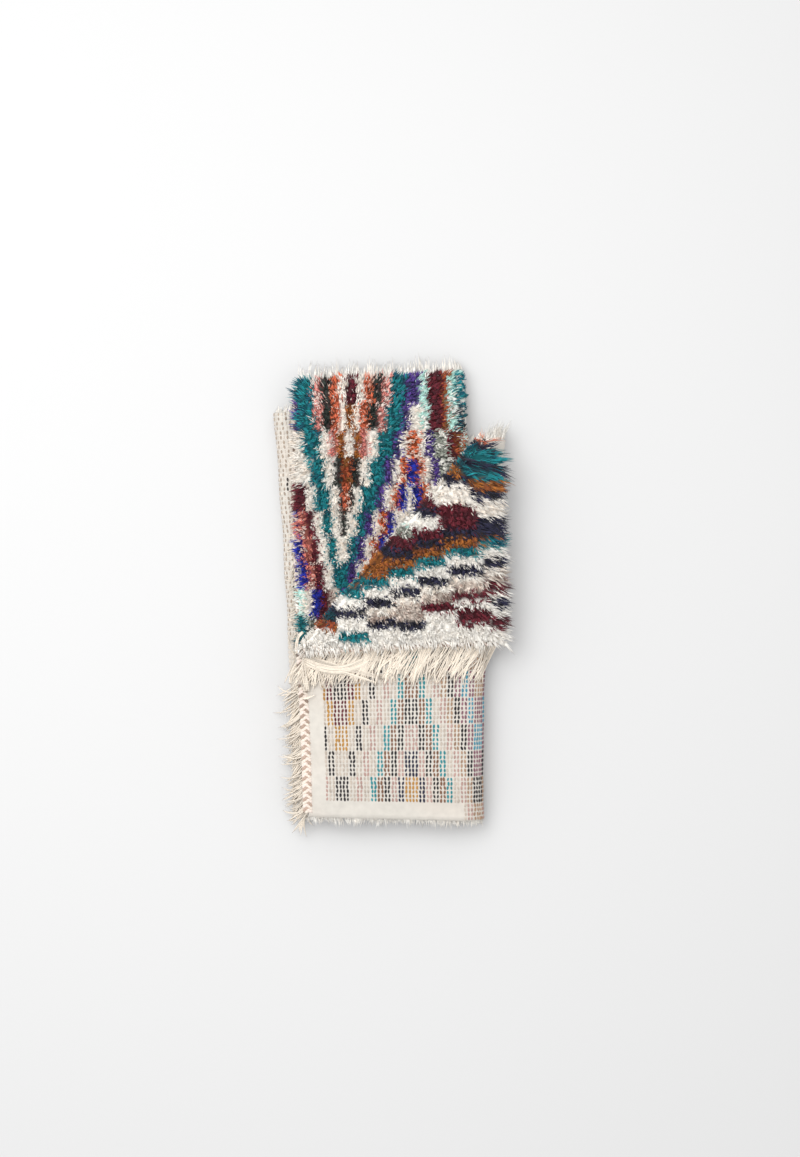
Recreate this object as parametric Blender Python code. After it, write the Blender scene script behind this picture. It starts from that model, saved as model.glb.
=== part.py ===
# A hand-knotted rag rug, folded into a parcel of four layers with one corner turned back.
#
# The warp runs along X and the weft along Y. From the top down the layers are: outer (back up),
# inner_top (pile up), inner_low (back up) and floor (pile up). Three rolls join them: the outer roll
# at the right, the left roll, and the inner roll, which nests in the outer one.
# The upper left corner of the outer layer is turned back over a slanting crease, pile up.
#
# The flat cloth is drawn first as a chart: the outer layer in plan, and the rest unrolled to its right.
# Each point of the chart is then carried to its place in the parcel, once for the back and once
# for the tips of the pile.

import math
import random
from collections import namedtuple

import bmesh
import bpy
from mathutils import Euler, Vector

# Thicknesses, in metres.
THICK = 0.024  # backing and pressed pile together
LOOSE = 0.008  # what pile stands higher by where nothing lies on it
GAP = 0.0025  # between layers
HEM_THICK = 0.007  # flat-woven end of the cloth
HEM_WIDTH = 0.042
LUMP = 0.0035  # unevenness of the open pile, up and down

# Waves of that unevenness in plan: radians for each metre along X and Y, and where each starts.
Wave = namedtuple("Wave", "per_x per_y start")
LUMP_WAVES = (Wave(92, 31, 0.7), Wave(-47, 103, 2.1), Wave(71, -64, 4.0))

# Heights of the backs of the layers above the floor, and the radii of the rolls' backs.
OUTER_Z = 4 * THICK + 3 * GAP
INNER_TOP_Z = 2 * THICK + 2 * GAP
INNER_LOW_Z = 2 * THICK + GAP
OUTER_ROLL_R = OUTER_Z / 2
LEFT_ROLL_R = THICK + GAP / 2
INNER_ROLL_R = GAP / 2

# Edges and bend lines in plan, each a smooth line through three points: X at the upper selvedge,
# half way and at the lower selvedge, then Y at the two selvedges.
Line = namedtuple("Line", "x_top x_mid x_low y_top y_low")
OUTER_END = Line(-0.285, -0.236, -0.217, 0.332, -0.562)
OUTER_ROLL = Line(0.228, 0.181, 0.173, 0.385, -0.572)
LEFT_ROLL = Line(-0.282, -0.248, -0.232, 0.457, -0.558)
INNER_ROLL = Line(0.152, 0.170, 0.165, 0.557, -0.462)
INNER_END = Line(-0.245, -0.245, -0.205, 0.537, -0.480)

# Sections of the cloth in order along the warp: their columns, their length in the flat chart, and
# how far the locks of pile reach past the upper and the lower selvedge.
Section = namedtuple("Section", "name columns length lock_top lock_low")
SECTIONS = (
    Section("outer", 16, 0.450, 0.030, 0.020),
    Section("outer_roll", 7, 0.162, 0.048, 0.018),
    Section("floor", 5, 0.460, 0.018, 0.026),
    Section("left_roll", 5, 0.079, 0.012, 0.012),
    Section("inner_low", 7, 0.420, 0.022, 0.008),
    Section("inner_roll", 6, 0.040, 0.034, 0.008),
    Section("inner_top", 16, 0.420, 0.044, 0.010),
)
ROWS = 30

# The turned-back corner: a crease line in plan, and the radius of the back inside it.
CREASE_LEFT = Vector((-0.233, -0.1525))
CREASE_RIGHT = Vector((0.224, 0.383))
CREASE_R = 0.0025
CREASE_STEPS = 5
CREASE_ALONG = (CREASE_RIGHT - CREASE_LEFT).normalized()
CREASE_AWAY = Vector((-CREASE_ALONG.y, CREASE_ALONG.x))
CREASE_ARC = math.pi * CREASE_R

# The corner's selvedge is pulled out to the right, most near the crease.
PULL = 0.030
PULL_WIDTH = 0.160  # how far in from the selvedge the pull is felt
PULL_FULL_FROM = 0.040  # past the crease
PULL_FADES_FROM, PULL_FADES_TO = 0.100, 0.450  # along the selvedge from the crease
PULL_LEFT = 0.8

# Where open pile stands up to its full height: past the crease on the corner, away from the crease
# on the inner layer beside it, and on the inner roll by Y and by its turn.
CORNER_OPEN_REACH = 0.045
INNER_OPEN_FROM, INNER_OPEN_TO = 0.036, 0.080
ROLL_OPEN_FROM_Y, ROLL_OPEN_TO_Y = 0.44, 0.49
ROLL_OPEN_FROM_TURN, ROLL_OPEN_TO_TURN = 0.3, 0.8

# Sags: the corner past the outer roll, the inner layers past the floor layer, and the lower margin.
CORNER_SAG = 0.010
CORNER_SAG_REACH = 0.060
OVERHANG_SAG = 0.021
OVERHANG_START = 0.035
OVERHANG_REACH = 0.110
MARGIN_START = -0.475
MARGIN_REACH = 0.090
MARGIN_SHARE = 0.15

# Rim locks.
LOCK_WIDTH = 0.017
SHORTEST_LOCK_EDGE = 0.006
SHORTEST_LOCK, LONGEST_LOCK = 0.65, 1.1  # shares of the section's length of locks
LOCK_SPREAD = 0.22  # how far a tip strays up or down, as a share of the cloth's thickness
LOCK_SEED = 5
LOWEST_TIP = 0.003

# Fringe: one row for each backing strip. Its stretch of the end runs between two shares of the
# cloth's width, its strands lean towards the lower selvedge by an angle, and their length changes
# from one size to another between two shares of the stretch.
Fringe = namedtuple(
    "Fringe", "name section on_corner first last strands lean_deg length_first length_last"
)
FRINGES = (
    Fringe("fringe_on_corner", "outer", True, 0.02, 0.500, 56, -24, 0.066, 0.070),
    Fringe("fringe_at_side", "outer", False, 0.600, 0.99, 42, 24, 0.074, 0.070),
    Fringe("fringe_inside", "inner_top", False, 0.02, 0.98, 84, 28, 0.018, 0.052),
)
LENGTH_CHANGE_FROM, LENGTH_CHANGE_TO = 0.25, 0.5
PART_GAP = 0.0003  # between the strip and the cloth's edge
STRIP_WIDTH = 0.009
STRIP_THICK = 0.0045
STRAND_HALF = 0.0021
STRAND_STEPS = 3
STRAND_WAVE_DEG = 5
STRAND_WAVE_COUNT = 22
STRAND_FALL = 0.9  # steepest fall, as a share of the way along
STRAND_CLEAR = 0.0016
STRAND_ROLL_CLEAR = 0.0045  # more over a roll, which straight steps of a strand would cut

# The middle of the parcel's box lies here in the plan above.
PLAN_CENTRE = Vector((0.002, 0.0018))

PILE_COLOUR = (0.35, 0.16, 0.15, 1)
YARN_COLOUR = (0.80, 0.76, 0.68, 1)

OUTER, ROLL, FLOOR, LEFT, LOW, INNER, TOP = range(len(SECTIONS))


def smooth(value, start, end):
    """0 before start, 1 past end, and an even rise between them."""
    share = min(1.0, max(0.0, (value - start) / (end - start)))
    return share * share * (3 - 2 * share)


def mix(low, high, share):
    return low + (high - low) * share


def line_point(line, across):
    """The point of a line at a share of the cloth's width, 0 at the upper selvedge."""
    top = (1 - across) * (1 - 2 * across)
    middle = 4 * across * (1 - across)
    low = across * (2 * across - 1)
    x = top * line.x_top + middle * line.x_mid + low * line.x_low
    return Vector((x, mix(line.y_top, line.y_low, across)))


def line_x(line, y):
    """X of a line at a height in plan."""
    return line_point(line, (line.y_top - y) / (line.y_top - line.y_low)).x


def lumps(x, y):
    """Unevenness of open pile, from -1 to 1."""
    waves = (math.sin(w.per_x * x + w.per_y * y + w.start) for w in LUMP_WAVES)
    return sum(waves) / len(LUMP_WAVES)


def open_pile(share, x, y):
    """What open pile adds to the thickness, where share says how open it is."""
    return share * (LOOSE + LUMP * lumps(x, y))


def hem(distance, thick):
    """Thickness at a distance from a flat-woven end."""
    return mix(HEM_THICK, thick, smooth(distance, 0, HEM_WIDTH))


def from_crease(x, y):
    """How far a point in plan lies beyond the crease, towards the corner that is turned back."""
    return (Vector((x, y)) - CREASE_LEFT).dot(CREASE_AWAY)


def margin_scale(y):
    """The parcel is a little lower along its lower selvedge, where the inner layers end."""
    return 1 - MARGIN_SHARE * smooth(MARGIN_START - y, 0, MARGIN_REACH)


def overhang(x, y):
    """How far the inner layers sink where they reach past the floor layer's upper selvedge."""
    share = (x - LEFT_ROLL.x_top) / (OUTER_ROLL.x_top - LEFT_ROLL.x_top)
    edge = mix(LEFT_ROLL.y_top, OUTER_ROLL.y_top, min(1.0, max(0.0, share)))
    return OVERHANG_SAG * smooth(y - edge - OVERHANG_START, 0, OVERHANG_REACH)


def corner_sag(x, y):
    """How far the turned-back corner sinks where it reaches past the outer roll."""
    past = max(0.0, x - line_x(OUTER_ROLL, y)) / CORNER_SAG_REACH
    return CORNER_SAG * (past * past if past < 1 else 2 * past - 1)


def pulled_out(x, y, past):
    """How far a point of the turned-back corner is pulled out, past its selvedge's straight line."""
    share = (x - OUTER_END.x_top) / (OUTER_ROLL.x_top - OUTER_END.x_top)
    inward = mix(OUTER_END.y_top, OUTER_ROLL.y_top, share) - y
    near_selvedge = 1 - smooth(inward, 0, PULL_WIDTH)
    fade = mix(1, PULL_LEFT, smooth(CREASE_RIGHT.x - x, PULL_FADES_FROM, PULL_FADES_TO))
    return PULL * near_selvedge * fade * smooth(past, 0, PULL_FULL_FROM)


def outer_point(x, y, h):
    """A point of the outer layer, which has its back up, with its corner turned over the crease."""
    past = from_crease(x, y)
    if past <= 0:
        return Vector((x, y, (OUTER_Z - h) * margin_scale(y)))
    angle = min(past / CREASE_R, math.pi)
    radius = CREASE_R + h
    away = radius * math.sin(angle) - max(0.0, past - CREASE_ARC)
    z = OUTER_Z + CREASE_R - radius * math.cos(angle)
    foot = Vector((x, y)) - CREASE_AWAY * (past - away)
    foot.x += pulled_out(x, y, past)
    z -= corner_sag(foot.x, foot.y) * smooth(past, 0, 2 * CREASE_ARC)
    return Vector((foot.x, foot.y, z))


def rolled(line, across, turn, radius, middle_z, side):
    """A point on a roll: turn goes from 0 to 1 over half a circle, from its top down."""
    axis = line_point(line, across)
    angle = math.pi * turn
    x = axis.x + side * radius * math.sin(angle)
    return Vector((x, axis.y, middle_z + radius * math.cos(angle)))


def between(first, second, along, across, z):
    """A point of a flat layer between two lines."""
    spot = line_point(first, across).lerp(line_point(second, across), along)
    return Vector((spot.x, spot.y, z))


def folded(section, along, across, h):
    """A point of any section but the outer layer: h is its height above the back."""
    if section == ROLL:
        point = rolled(OUTER_ROLL, across, along, OUTER_ROLL_R - h, OUTER_ROLL_R, 1)
    elif section == FLOOR:
        point = between(OUTER_ROLL, LEFT_ROLL, along, across, h)
    elif section == LEFT:
        point = rolled(LEFT_ROLL, across, 1 - along, LEFT_ROLL_R - h, LEFT_ROLL_R, -1)
    elif section == LOW:
        point = between(LEFT_ROLL, INNER_ROLL, along, across, INNER_LOW_Z - h)
    elif section == INNER:
        middle = INNER_LOW_Z + INNER_ROLL_R
        point = rolled(INNER_ROLL, across, 1 - along, INNER_ROLL_R + h, middle, 1)
    else:
        point = between(INNER_ROLL, INNER_END, along, across, INNER_TOP_Z + h)
    if section in (LOW, INNER, TOP):
        point.z -= overhang(point.x, point.y)
    point.z *= margin_scale(point.y)
    return point


def pile_height(section, along, across, x, y):
    """The thickness of the cloth at a point, from its back to the tips of its pile."""
    if section == OUTER:
        turned = smooth(from_crease(x, y), CREASE_ARC, CREASE_ARC + CORNER_OPEN_REACH)
        return hem(x - line_x(OUTER_END, y), THICK + open_pile(turned, x, y))
    if section == INNER:
        spot = line_point(INNER_ROLL, across)
        seen = smooth(spot.y, ROLL_OPEN_FROM_Y, ROLL_OPEN_TO_Y)
        seen *= smooth(along, ROLL_OPEN_FROM_TURN, ROLL_OPEN_TO_TURN)
        return THICK + open_pile(seen, spot.x, spot.y)
    if section == TOP:
        spot = line_point(INNER_ROLL, across).lerp(line_point(INNER_END, across), along)
        seen = smooth(from_crease(spot.x, spot.y), INNER_OPEN_FROM, INNER_OPEN_TO)
        return THICK + open_pile(seen, spot.x, spot.y)
    return THICK


class Cloth:
    """The flat chart of the rug, with each point's place along and across its section."""

    def __init__(self):
        self.bm = bmesh.new()
        self.station = self.bm.verts.layers.float.new("station")
        self.across = self.bm.verts.layers.float.new("across")
        self.end = self.bm.verts.layers.int.new("end")
        self.outer = self.bm.faces.layers.int.new("outer")
        self.columns = []

    def column(self, section, along, is_end=False):
        """One column of points across the width, to the right of the ones before it."""
        unrolled = sum(s.length for s in SECTIONS[1:section])
        made = []
        for row in range(ROWS + 1):
            across = row / ROWS
            if section == OUTER:
                spot = line_point(OUTER_END, across).lerp(line_point(OUTER_ROLL, across), along)
            else:
                spot = line_point(OUTER_ROLL, across)
                spot.x += unrolled + along * SECTIONS[section].length
            vert = self.bm.verts.new((spot.x, spot.y, 0))
            vert[self.station] = section + along
            vert[self.across] = across
            vert[self.end] = is_end
            made.append(vert)
        self.columns.append(made)

    def grid(self):
        self.column(OUTER, 0, is_end=True)
        for number, section in enumerate(SECTIONS):
            for step in range(1, section.columns + 1):
                last = number == TOP and step == section.columns
                self.column(number, step / section.columns, is_end=last)
        for number in range(len(self.columns) - 1):
            left, right = self.columns[number : number + 2]
            for row in range(ROWS):
                corners = (left[row], left[row + 1], right[row + 1], right[row])
                face = self.bm.faces.new(corners)
                face[self.outer] = number < SECTIONS[OUTER].columns

    def cut_crease(self):
        """Lines along the crease, close enough together for the cloth to turn over in them."""
        for step in range(CREASE_STEPS + 1):
            away = CREASE_AWAY * (CREASE_ARC * step / CREASE_STEPS)
            spot = (CREASE_LEFT + away).to_3d()
            faces = [f for f in self.bm.faces if f[self.outer]]
            edges = {e for f in faces for e in f.edges}
            verts = {v for f in faces for v in f.verts}
            bmesh.ops.bisect_plane(
                self.bm,
                geom=[*faces, *edges, *verts],
                dist=0.0002,
                plane_co=spot,
                plane_no=CREASE_AWAY.to_3d(),
            )

    def split_selvedges(self):
        """More points along the edges of the two selvedges, so that every lock is narrow."""
        parts = {}
        for edge in self.bm.edges:
            if edge.is_boundary and not self.at_end(edge):
                parts.setdefault(round(edge.calc_length() / LOCK_WIDTH), []).append(edge)
        for count, edges in parts.items():
            if count > 1:
                bmesh.ops.subdivide_edges(self.bm, edges=edges, cuts=count - 1)

    def at_end(self, edge):
        return all(v[self.end] for v in edge.verts)

    def whereabouts(self, vert):
        """Section, share of the way along it and share of the width."""
        section = min(int(vert[self.station] + 1e-5), TOP)
        return section, vert[self.station] - section, vert[self.across]

    def place(self, vert, pile):
        """Where a point of the chart lies in the parcel: its back, or the tip of its pile."""
        section, along, across = self.whereabouts(vert)
        h = pile_height(section, along, across, vert.co.x, vert.co.y) if pile else 0.0
        if section == OUTER:
            return outer_point(vert.co.x, vert.co.y, h)
        return folded(section, along, across, h)


def lock_length(cloth, edge):
    """How far the pile reaches past this edge of the rim, or 0 on a flat-woven end."""
    if cloth.at_end(edge) or edge.calc_length() < SHORTEST_LOCK_EDGE:
        return 0.0
    section = SECTIONS[int(sum(v[cloth.station] for v in edge.verts) / 2)]
    upper = sum(v[cloth.across] for v in edge.verts) < 1
    return section.lock_top if upper else section.lock_low


def add_lock(bm, corners, length, chance):
    """A pointed lock of pile on one quad of the rim."""
    a, b, c, d = (v.co for v in corners)
    outward = (b - a).cross(c - b).normalized()
    thickness = c - b
    tip = (a + b + c + d) / 4
    tip += outward * length * chance.uniform(SHORTEST_LOCK, LONGEST_LOCK)
    tip += thickness * chance.uniform(-LOCK_SPREAD, LOCK_SPREAD)
    tip.z = max(tip.z, LOWEST_TIP)
    apex = bm.verts.new(tip)
    for first, second in zip(corners, corners[1:] + corners[:1]):
        bm.faces.new((first, second, apex))


def make_rug():
    cloth = Cloth()
    cloth.grid()
    cloth.cut_crease()
    cloth.split_selvedges()
    bmesh.ops.triangulate(cloth.bm, faces=cloth.bm.faces[:])
    chance = random.Random(LOCK_SEED)
    bm = bmesh.new()
    back = {v: bm.verts.new(cloth.place(v, pile=False)) for v in cloth.bm.verts}
    pile = {v: bm.verts.new(cloth.place(v, pile=True)) for v in cloth.bm.verts}
    for face in cloth.bm.faces:
        bm.faces.new([back[v] for v in face.verts])
        bm.faces.new([pile[v] for v in reversed(face.verts)])
    for edge in cloth.bm.edges:
        if not edge.is_boundary:
            continue
        loop = edge.link_loops[0]
        first, second = loop.vert, loop.link_loop_next.vert
        corners = [back[second], back[first], pile[first], pile[second]]
        length = lock_length(cloth, edge)
        if length:
            add_lock(bm, corners, length, chance)
        else:
            bm.faces.new(corners)
    cloth.bm.free()
    return finish("rug", bm, PILE_COLOUR)


def end_point(row, across, out, h):
    """A point past one of the cloth's two ends: out is the distance from its edge."""
    if row.section == "outer":
        spot = line_point(OUTER_END, across)
        return outer_point(spot.x - out, spot.y, h)
    roll, end = line_point(INNER_ROLL, across), line_point(INNER_END, across)
    return folded(TOP, 1 + out / (roll - end).length, across, h)


def fall_on_roll(past, radius):
    """How far a roll's top has fallen at a distance past its axis, less some room for a strand."""
    past = min(radius, max(0.0, past))
    room = STRAND_ROLL_CLEAR * smooth(past, 0, radius / 4)
    return radius - math.sqrt(radius**2 - past**2) - room


def over_outer(point):
    """How high the outer layer and its roll stand under a strand of the turned-back corner."""
    fall = fall_on_roll(point.x - line_x(OUTER_ROLL, point.y), OUTER_ROLL_R)
    return (OUTER_Z - fall) * margin_scale(point.y)


def over_inner(point):
    """How high the inner layers and the left roll stand under a strand of the other fringes."""
    x, y, z = point
    if x > line_x(INNER_END, y) - STRIP_WIDTH and z > INNER_TOP_Z + THICK:
        return (INNER_TOP_Z + THICK) * margin_scale(y)
    past = line_x(LEFT_ROLL, y) - x
    if past > LEFT_ROLL_R:
        return 0.0
    return (INNER_LOW_Z - fall_on_roll(past, LEFT_ROLL_R)) * margin_scale(y)


def strand_rings(root, outward, length, support):
    """Centres of a strand's rings: it leaves its strip outward, then falls onto what lies below."""
    step = length / STRAND_STEPS
    point = root.copy()
    rings = []
    for number in range(STRAND_STEPS):
        point = point + outward * step
        lowest = support(point) + STRAND_HALF + STRAND_CLEAR
        point.z = max(lowest, point.z - STRAND_FALL * step)
        rings.append(point.copy())
    return rings


def add_strand(bm, root_ring, rings):
    """A four-sided strand from one cell of the strip to its tip."""
    ring = root_ring
    centre = sum((v.co for v in root_ring), Vector()) / 4
    across = (root_ring[1].co - root_ring[0].co).normalized()
    for number, spot in enumerate(rings[:-1]):
        along = (spot - centre).normalized()
        upward = across.cross(along).normalized()
        if upward.dot(root_ring[2].co - root_ring[1].co) < 0:
            upward = -upward
        half = STRAND_HALF
        signs = ((-1, -1), (1, -1), (1, 1), (-1, 1))
        made = [bm.verts.new(spot + across * half * a + upward * half * u) for a, u in signs]
        for k in range(4):
            bm.faces.new((ring[k], ring[(k + 1) % 4], made[(k + 1) % 4], made[k]))
        ring, centre = made, spot
    tip = bm.verts.new(rings[-1])
    for k in range(4):
        bm.faces.new((ring[k], ring[(k + 1) % 4], tip))


def make_fringe(row):
    """A narrow strip along one stretch of a flat-woven end, with its strands."""
    bm = bmesh.new()
    stations = []
    for number in range(row.strands + 1):
        across = mix(row.first, row.last, number / row.strands)
        outs = (PART_GAP, PART_GAP + STRIP_WIDTH)
        corners = [(outs[0], 0), (outs[1], 0), (outs[1], STRIP_THICK), (outs[0], STRIP_THICK)]
        stations.append([bm.verts.new(end_point(row, across, o, h)) for o, h in corners])
    for first, last in zip(stations, stations[1:]):
        for k in (0, 2, 3):
            bm.faces.new((first[k], first[(k + 1) % 4], last[(k + 1) % 4], last[k]))
    bm.faces.new(stations[0][::-1])
    bm.faces.new(stations[-1])
    for number in range(row.strands):
        first, last = stations[number : number + 2]
        cell = [first[1], last[1], last[2], first[2]]
        share = (number + 0.5) / row.strands
        root = sum((v.co for v in cell), Vector()) / 4
        outward = (first[1].co - first[0].co) + (last[1].co - last[0].co)
        outward.z = 0
        wave = STRAND_WAVE_DEG * math.sin(2 * math.pi * number / STRAND_WAVE_COUNT)
        outward.rotate(Euler((0, 0, math.radians(row.lean_deg + wave))))
        outward.normalize()
        change = smooth(share, LENGTH_CHANGE_FROM, LENGTH_CHANGE_TO)
        length = mix(row.length_first, row.length_last, change)
        support = over_outer if row.on_corner else over_inner
        add_strand(bm, cell, strand_rings(root, outward, length, support))
    return finish(row.name, bm, YARN_COLOUR)


def finish(name, bm, colour):
    """Turns the faces outward and links the object, with its own material."""
    bmesh.ops.triangulate(bm, faces=bm.faces[:])
    bmesh.ops.recalc_face_normals(bm, faces=bm.faces[:])
    bmesh.ops.translate(bm, verts=bm.verts[:], vec=-PLAN_CENTRE.to_3d())
    mesh = bpy.data.meshes.new(name)
    bm.to_mesh(mesh)
    bm.free()
    material = bpy.data.materials.new(name)
    material.use_nodes = True
    shader = material.node_tree.nodes["Principled BSDF"]
    shader.inputs["Base Color"].default_value = colour
    shader.inputs["Roughness"].default_value = 0.95
    shader.inputs["Metallic"].default_value = 0.0
    mesh.materials.append(material)
    rug = bpy.data.objects.new(name, mesh)
    bpy.context.scene.collection.objects.link(rug)
    return rug


def main():
    for thing in list(bpy.data.objects):
        bpy.data.objects.remove(thing)
    make_rug()
    for row in FRINGES:
        make_fringe(row)


main()
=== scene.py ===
# Looks of a hand-knotted rag rug, folded into a parcel of four layers with one corner turned back.
#
# Everything is worked out in the plan that the parcel was drawn in, in metres, and moved by
# PLAN_CENTRE at the end. A point of the cloth is given by its section of the warp, its share of
# the way along that section, its share of the width from the upper selvedge, and its height
# above the back of the cloth. cloth_points() carries such points to their places in the parcel.

import math
from collections import namedtuple
from functools import partial

import bmesh
import bpy
import numpy as np
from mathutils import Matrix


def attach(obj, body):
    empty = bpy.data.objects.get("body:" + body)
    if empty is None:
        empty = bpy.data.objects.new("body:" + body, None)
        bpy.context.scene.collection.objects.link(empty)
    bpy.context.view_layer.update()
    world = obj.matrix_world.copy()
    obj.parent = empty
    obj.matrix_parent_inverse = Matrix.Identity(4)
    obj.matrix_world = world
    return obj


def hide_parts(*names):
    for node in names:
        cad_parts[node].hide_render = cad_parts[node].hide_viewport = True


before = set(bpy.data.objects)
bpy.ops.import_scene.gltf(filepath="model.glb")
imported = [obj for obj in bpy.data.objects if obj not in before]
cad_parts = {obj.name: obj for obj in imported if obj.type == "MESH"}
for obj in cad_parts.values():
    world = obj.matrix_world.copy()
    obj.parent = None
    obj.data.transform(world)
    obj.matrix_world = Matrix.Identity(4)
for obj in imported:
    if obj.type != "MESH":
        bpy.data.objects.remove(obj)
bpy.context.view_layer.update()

# The parcel's folds, as in the CAD model

THICK = 0.024
LOOSE = 0.008
GAP = 0.0025
HEM_THICK = 0.007
HEM_WIDTH = 0.042
LUMP = 0.0035
Wave = namedtuple("Wave", "per_x per_y start")
LUMP_WAVES = (Wave(92, 31, 0.7), Wave(-47, 103, 2.1), Wave(71, -64, 4.0))
OUTER_Z = 4 * THICK + 3 * GAP
INNER_TOP_Z = 2 * THICK + 2 * GAP
INNER_LOW_Z = 2 * THICK + GAP
OUTER_ROLL_R = OUTER_Z / 2
LEFT_ROLL_R = THICK + GAP / 2
INNER_ROLL_R = GAP / 2

Line = namedtuple("Line", "x_top x_mid x_low y_top y_low")
OUTER_END = Line(-0.285, -0.236, -0.217, 0.332, -0.562)
OUTER_ROLL = Line(0.228, 0.181, 0.173, 0.385, -0.572)
LEFT_ROLL = Line(-0.282, -0.248, -0.232, 0.457, -0.558)
INNER_ROLL = Line(0.152, 0.170, 0.165, 0.557, -0.462)
INNER_END = Line(-0.245, -0.245, -0.205, 0.537, -0.480)

# Sections of the cloth from its outer end: length along the warp, and how far the pile reaches past
# the upper and the lower selvedge.
Section = namedtuple("Section", "length lock_top lock_low")
SECTIONS = (
    Section(0.410, 0.030, 0.020),
    Section(0.162, 0.048, 0.018),
    Section(0.460, 0.018, 0.026),
    Section(0.079, 0.012, 0.012),
    Section(0.420, 0.022, 0.008),
    Section(0.040, 0.034, 0.008),
    Section(0.420, 0.044, 0.010),
)
OUTER, ROLL, FLOOR, LEFT, LOWER, INNER, TOP = range(len(SECTIONS))

# Lines at the two ends of each flat section
SECTION_LINES = {
    OUTER: (OUTER_END, OUTER_ROLL),
    FLOOR: (OUTER_ROLL, LEFT_ROLL),
    LOWER: (LEFT_ROLL, INNER_ROLL),
    TOP: (INNER_ROLL, INNER_END),
}

CREASE_LEFT = np.array((-0.233, -0.1525))
CREASE_RIGHT = np.array((0.224, 0.383))
CREASE_R = 0.0025
CREASE_ARC = math.pi * CREASE_R
CREASE_ALONG = (CREASE_RIGHT - CREASE_LEFT) / np.linalg.norm(CREASE_RIGHT - CREASE_LEFT)
CREASE_AWAY = np.array((-CREASE_ALONG[1], CREASE_ALONG[0]))
PULL = 0.030
PULL_WIDTH = 0.160
PULL_FULL_FROM = 0.040
PULL_FADES_FROM, PULL_FADES_TO = 0.100, 0.450
PULL_LEFT = 0.8
CORNER_OPEN_REACH = 0.045
INNER_OPEN_FROM, INNER_OPEN_TO = 0.036, 0.080
ROLL_OPEN_FROM_Y, ROLL_OPEN_TO_Y = 0.44, 0.49
ROLL_OPEN_FROM_TURN, ROLL_OPEN_TO_TURN = 0.3, 0.8
CORNER_SAG = 0.010
CORNER_SAG_REACH = 0.060
OVERHANG_SAG = 0.021
OVERHANG_START = 0.035
OVERHANG_REACH = 0.110
MARGIN_START = -0.475
MARGIN_REACH = 0.090
MARGIN_SHARE = 0.15
PLAN_CENTRE = np.array((0.002, 0.0018, 0.0))

# Sizes of the looks

CLOTH_THICK = 0.0036  # woven ground without its pile
GRID = 0.012  # mesh size of the ground and of the pressed pile
WIDTH = 0.957  # across the weft, measured in plan
CREASE_STEPS = 5
# Fewest steps along a section, and how much finer than GRID they are.
ROLL_STEPS, FLAT_STEPS = (12, 1.5), (6, 1)
# Uneven creases of the outer layer: products of waves, a pucker near the roll, a little above the
# middle of the plain back that shows, and a trough across it. Places are along the warp and in y.
RIPPLE = 0.0022
LONG_WAVES = (Wave(27, 9, 0.4), Wave(-8, 19, 1.0))
SHORT_WAVES = (Wave(61, -23, 0.0), Wave(12, 41, 2.0))
SHORT_SHARE = 0.5
PUCKER, PUCKER_WARP, PUCKER_Y, PUCKER_LONG, PUCKER_WIDE = 1.6, 0.345, -0.325, 0.030, 0.020
TROUGH, TROUGH_WARP, TROUGH_Y, TROUGH_SLOPE, TROUGH_WIDE = 0.9, 0.2, -0.46, 0.25, 0.016
RIPPLE_FADE = 0.03  # they fade out over this distance from the turned-back corner's crease
HEM_DROOP = 0.009
HEM_DROOP_REACH, HEM_DROOP_FADE = 0.06, 0.05  # from the woven end, and from the crease
LEFT_BULGE = 0.0012  # how uneven the roll at the left is
# Top of the dense pile between the strands, and where a layer presses it: shares of the pile's.
BED_TOP, PRESSED_TOP = 0.46, 0.94
LEAST_BED, BED_FOOT = CLOTH_THICK + 0.001, CLOTH_THICK * 0.6  # above the back of the cloth
KNOT_WARP = 0.0091
KNOT_WEFT = 0.0111
BLOCK = 6  # knots of one colour across the weft
NEAR = 0.002  # how far apart points are that give a direction
STRAND_CORNERS, YARN_CORNERS, CHAIN_CORNERS = 3, 5, 6
FLOOR_CLEAR = 0.0012  # lowest point of any strand
HIGHEST = 0.153  # highest point of any strand of pile
LAID_FLAT = 0.725  # cloth that lies open to the light is dyed a little darker than pile
ROOT_PAINTED_SHADE, PALE_ROOT_PAINTED_SHADE = 0.33, 0.98  # painted shade: wool is darkened down in the pile, where shade falls
ROOT_PAINTED_SHADE_TO = 0.7  # share of a strand at which the painted shade ends and its own dye begins
# Painted shade on the dense pile in the gaps between open tufts, for dark and for pale wool.
BED_PAINTED_SHADE, PALE_BED_PAINTED_SHADE = 0.28, 0.92
PALE_FROM, PALE_TO = 0.35, 0.80  # mean scene colour of half pale and of pale wool

# Display colours of the yarns. A mixed yarn has strands of a second colour, and their share.
Yarn = namedtuple("Yarn", "rgb second share")
YARNS = {
    "teal": Yarn((22, 146, 154), (16, 100, 120), 0.30),
    "deep_teal": Yarn((14, 88, 102), (40, 46, 58), 0.35),
    "white": Yarn((255, 251, 244), (253, 247, 238), 0.30),
    "cream": Yarn((254, 248, 239), (246, 234, 220), 0.25),
    "beige": Yarn((222, 208, 196), (176, 154, 142), 0.30),
    "pink": Yarn((236, 150, 140), (250, 232, 222), 0.40),
    "salmon": Yarn((232, 138, 122), (250, 226, 214), 0.35),
    "coral": Yarn((232, 120, 82), (248, 214, 196), 0.30),
    "orange": Yarn((230, 112, 62), (250, 222, 204), 0.30),
    "maroon": Yarn((122, 34, 50), (84, 26, 38), 0.30),
    "gold": Yarn((194, 118, 48), (150, 82, 40), 0.35),
    "rust": Yarn((192, 92, 52), (146, 96, 44), 0.40),
    "navy": Yarn((46, 46, 76), (34, 34, 46), 0.35),
    "black": Yarn((46, 40, 40), (70, 56, 56), 0.30),
    "cobalt": Yarn((34, 52, 186), (40, 40, 120), 0.25),
    "purple": Yarn((104, 74, 164), (58, 48, 104), 0.35),
    "charcoal": Yarn((52, 62, 56), (70, 50, 50), 0.25),
    "mint": Yarn((196, 238, 228), (246, 246, 240), 0.40),
    "stone": Yarn((168, 172, 160), (232, 230, 222), 0.40),
}
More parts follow.
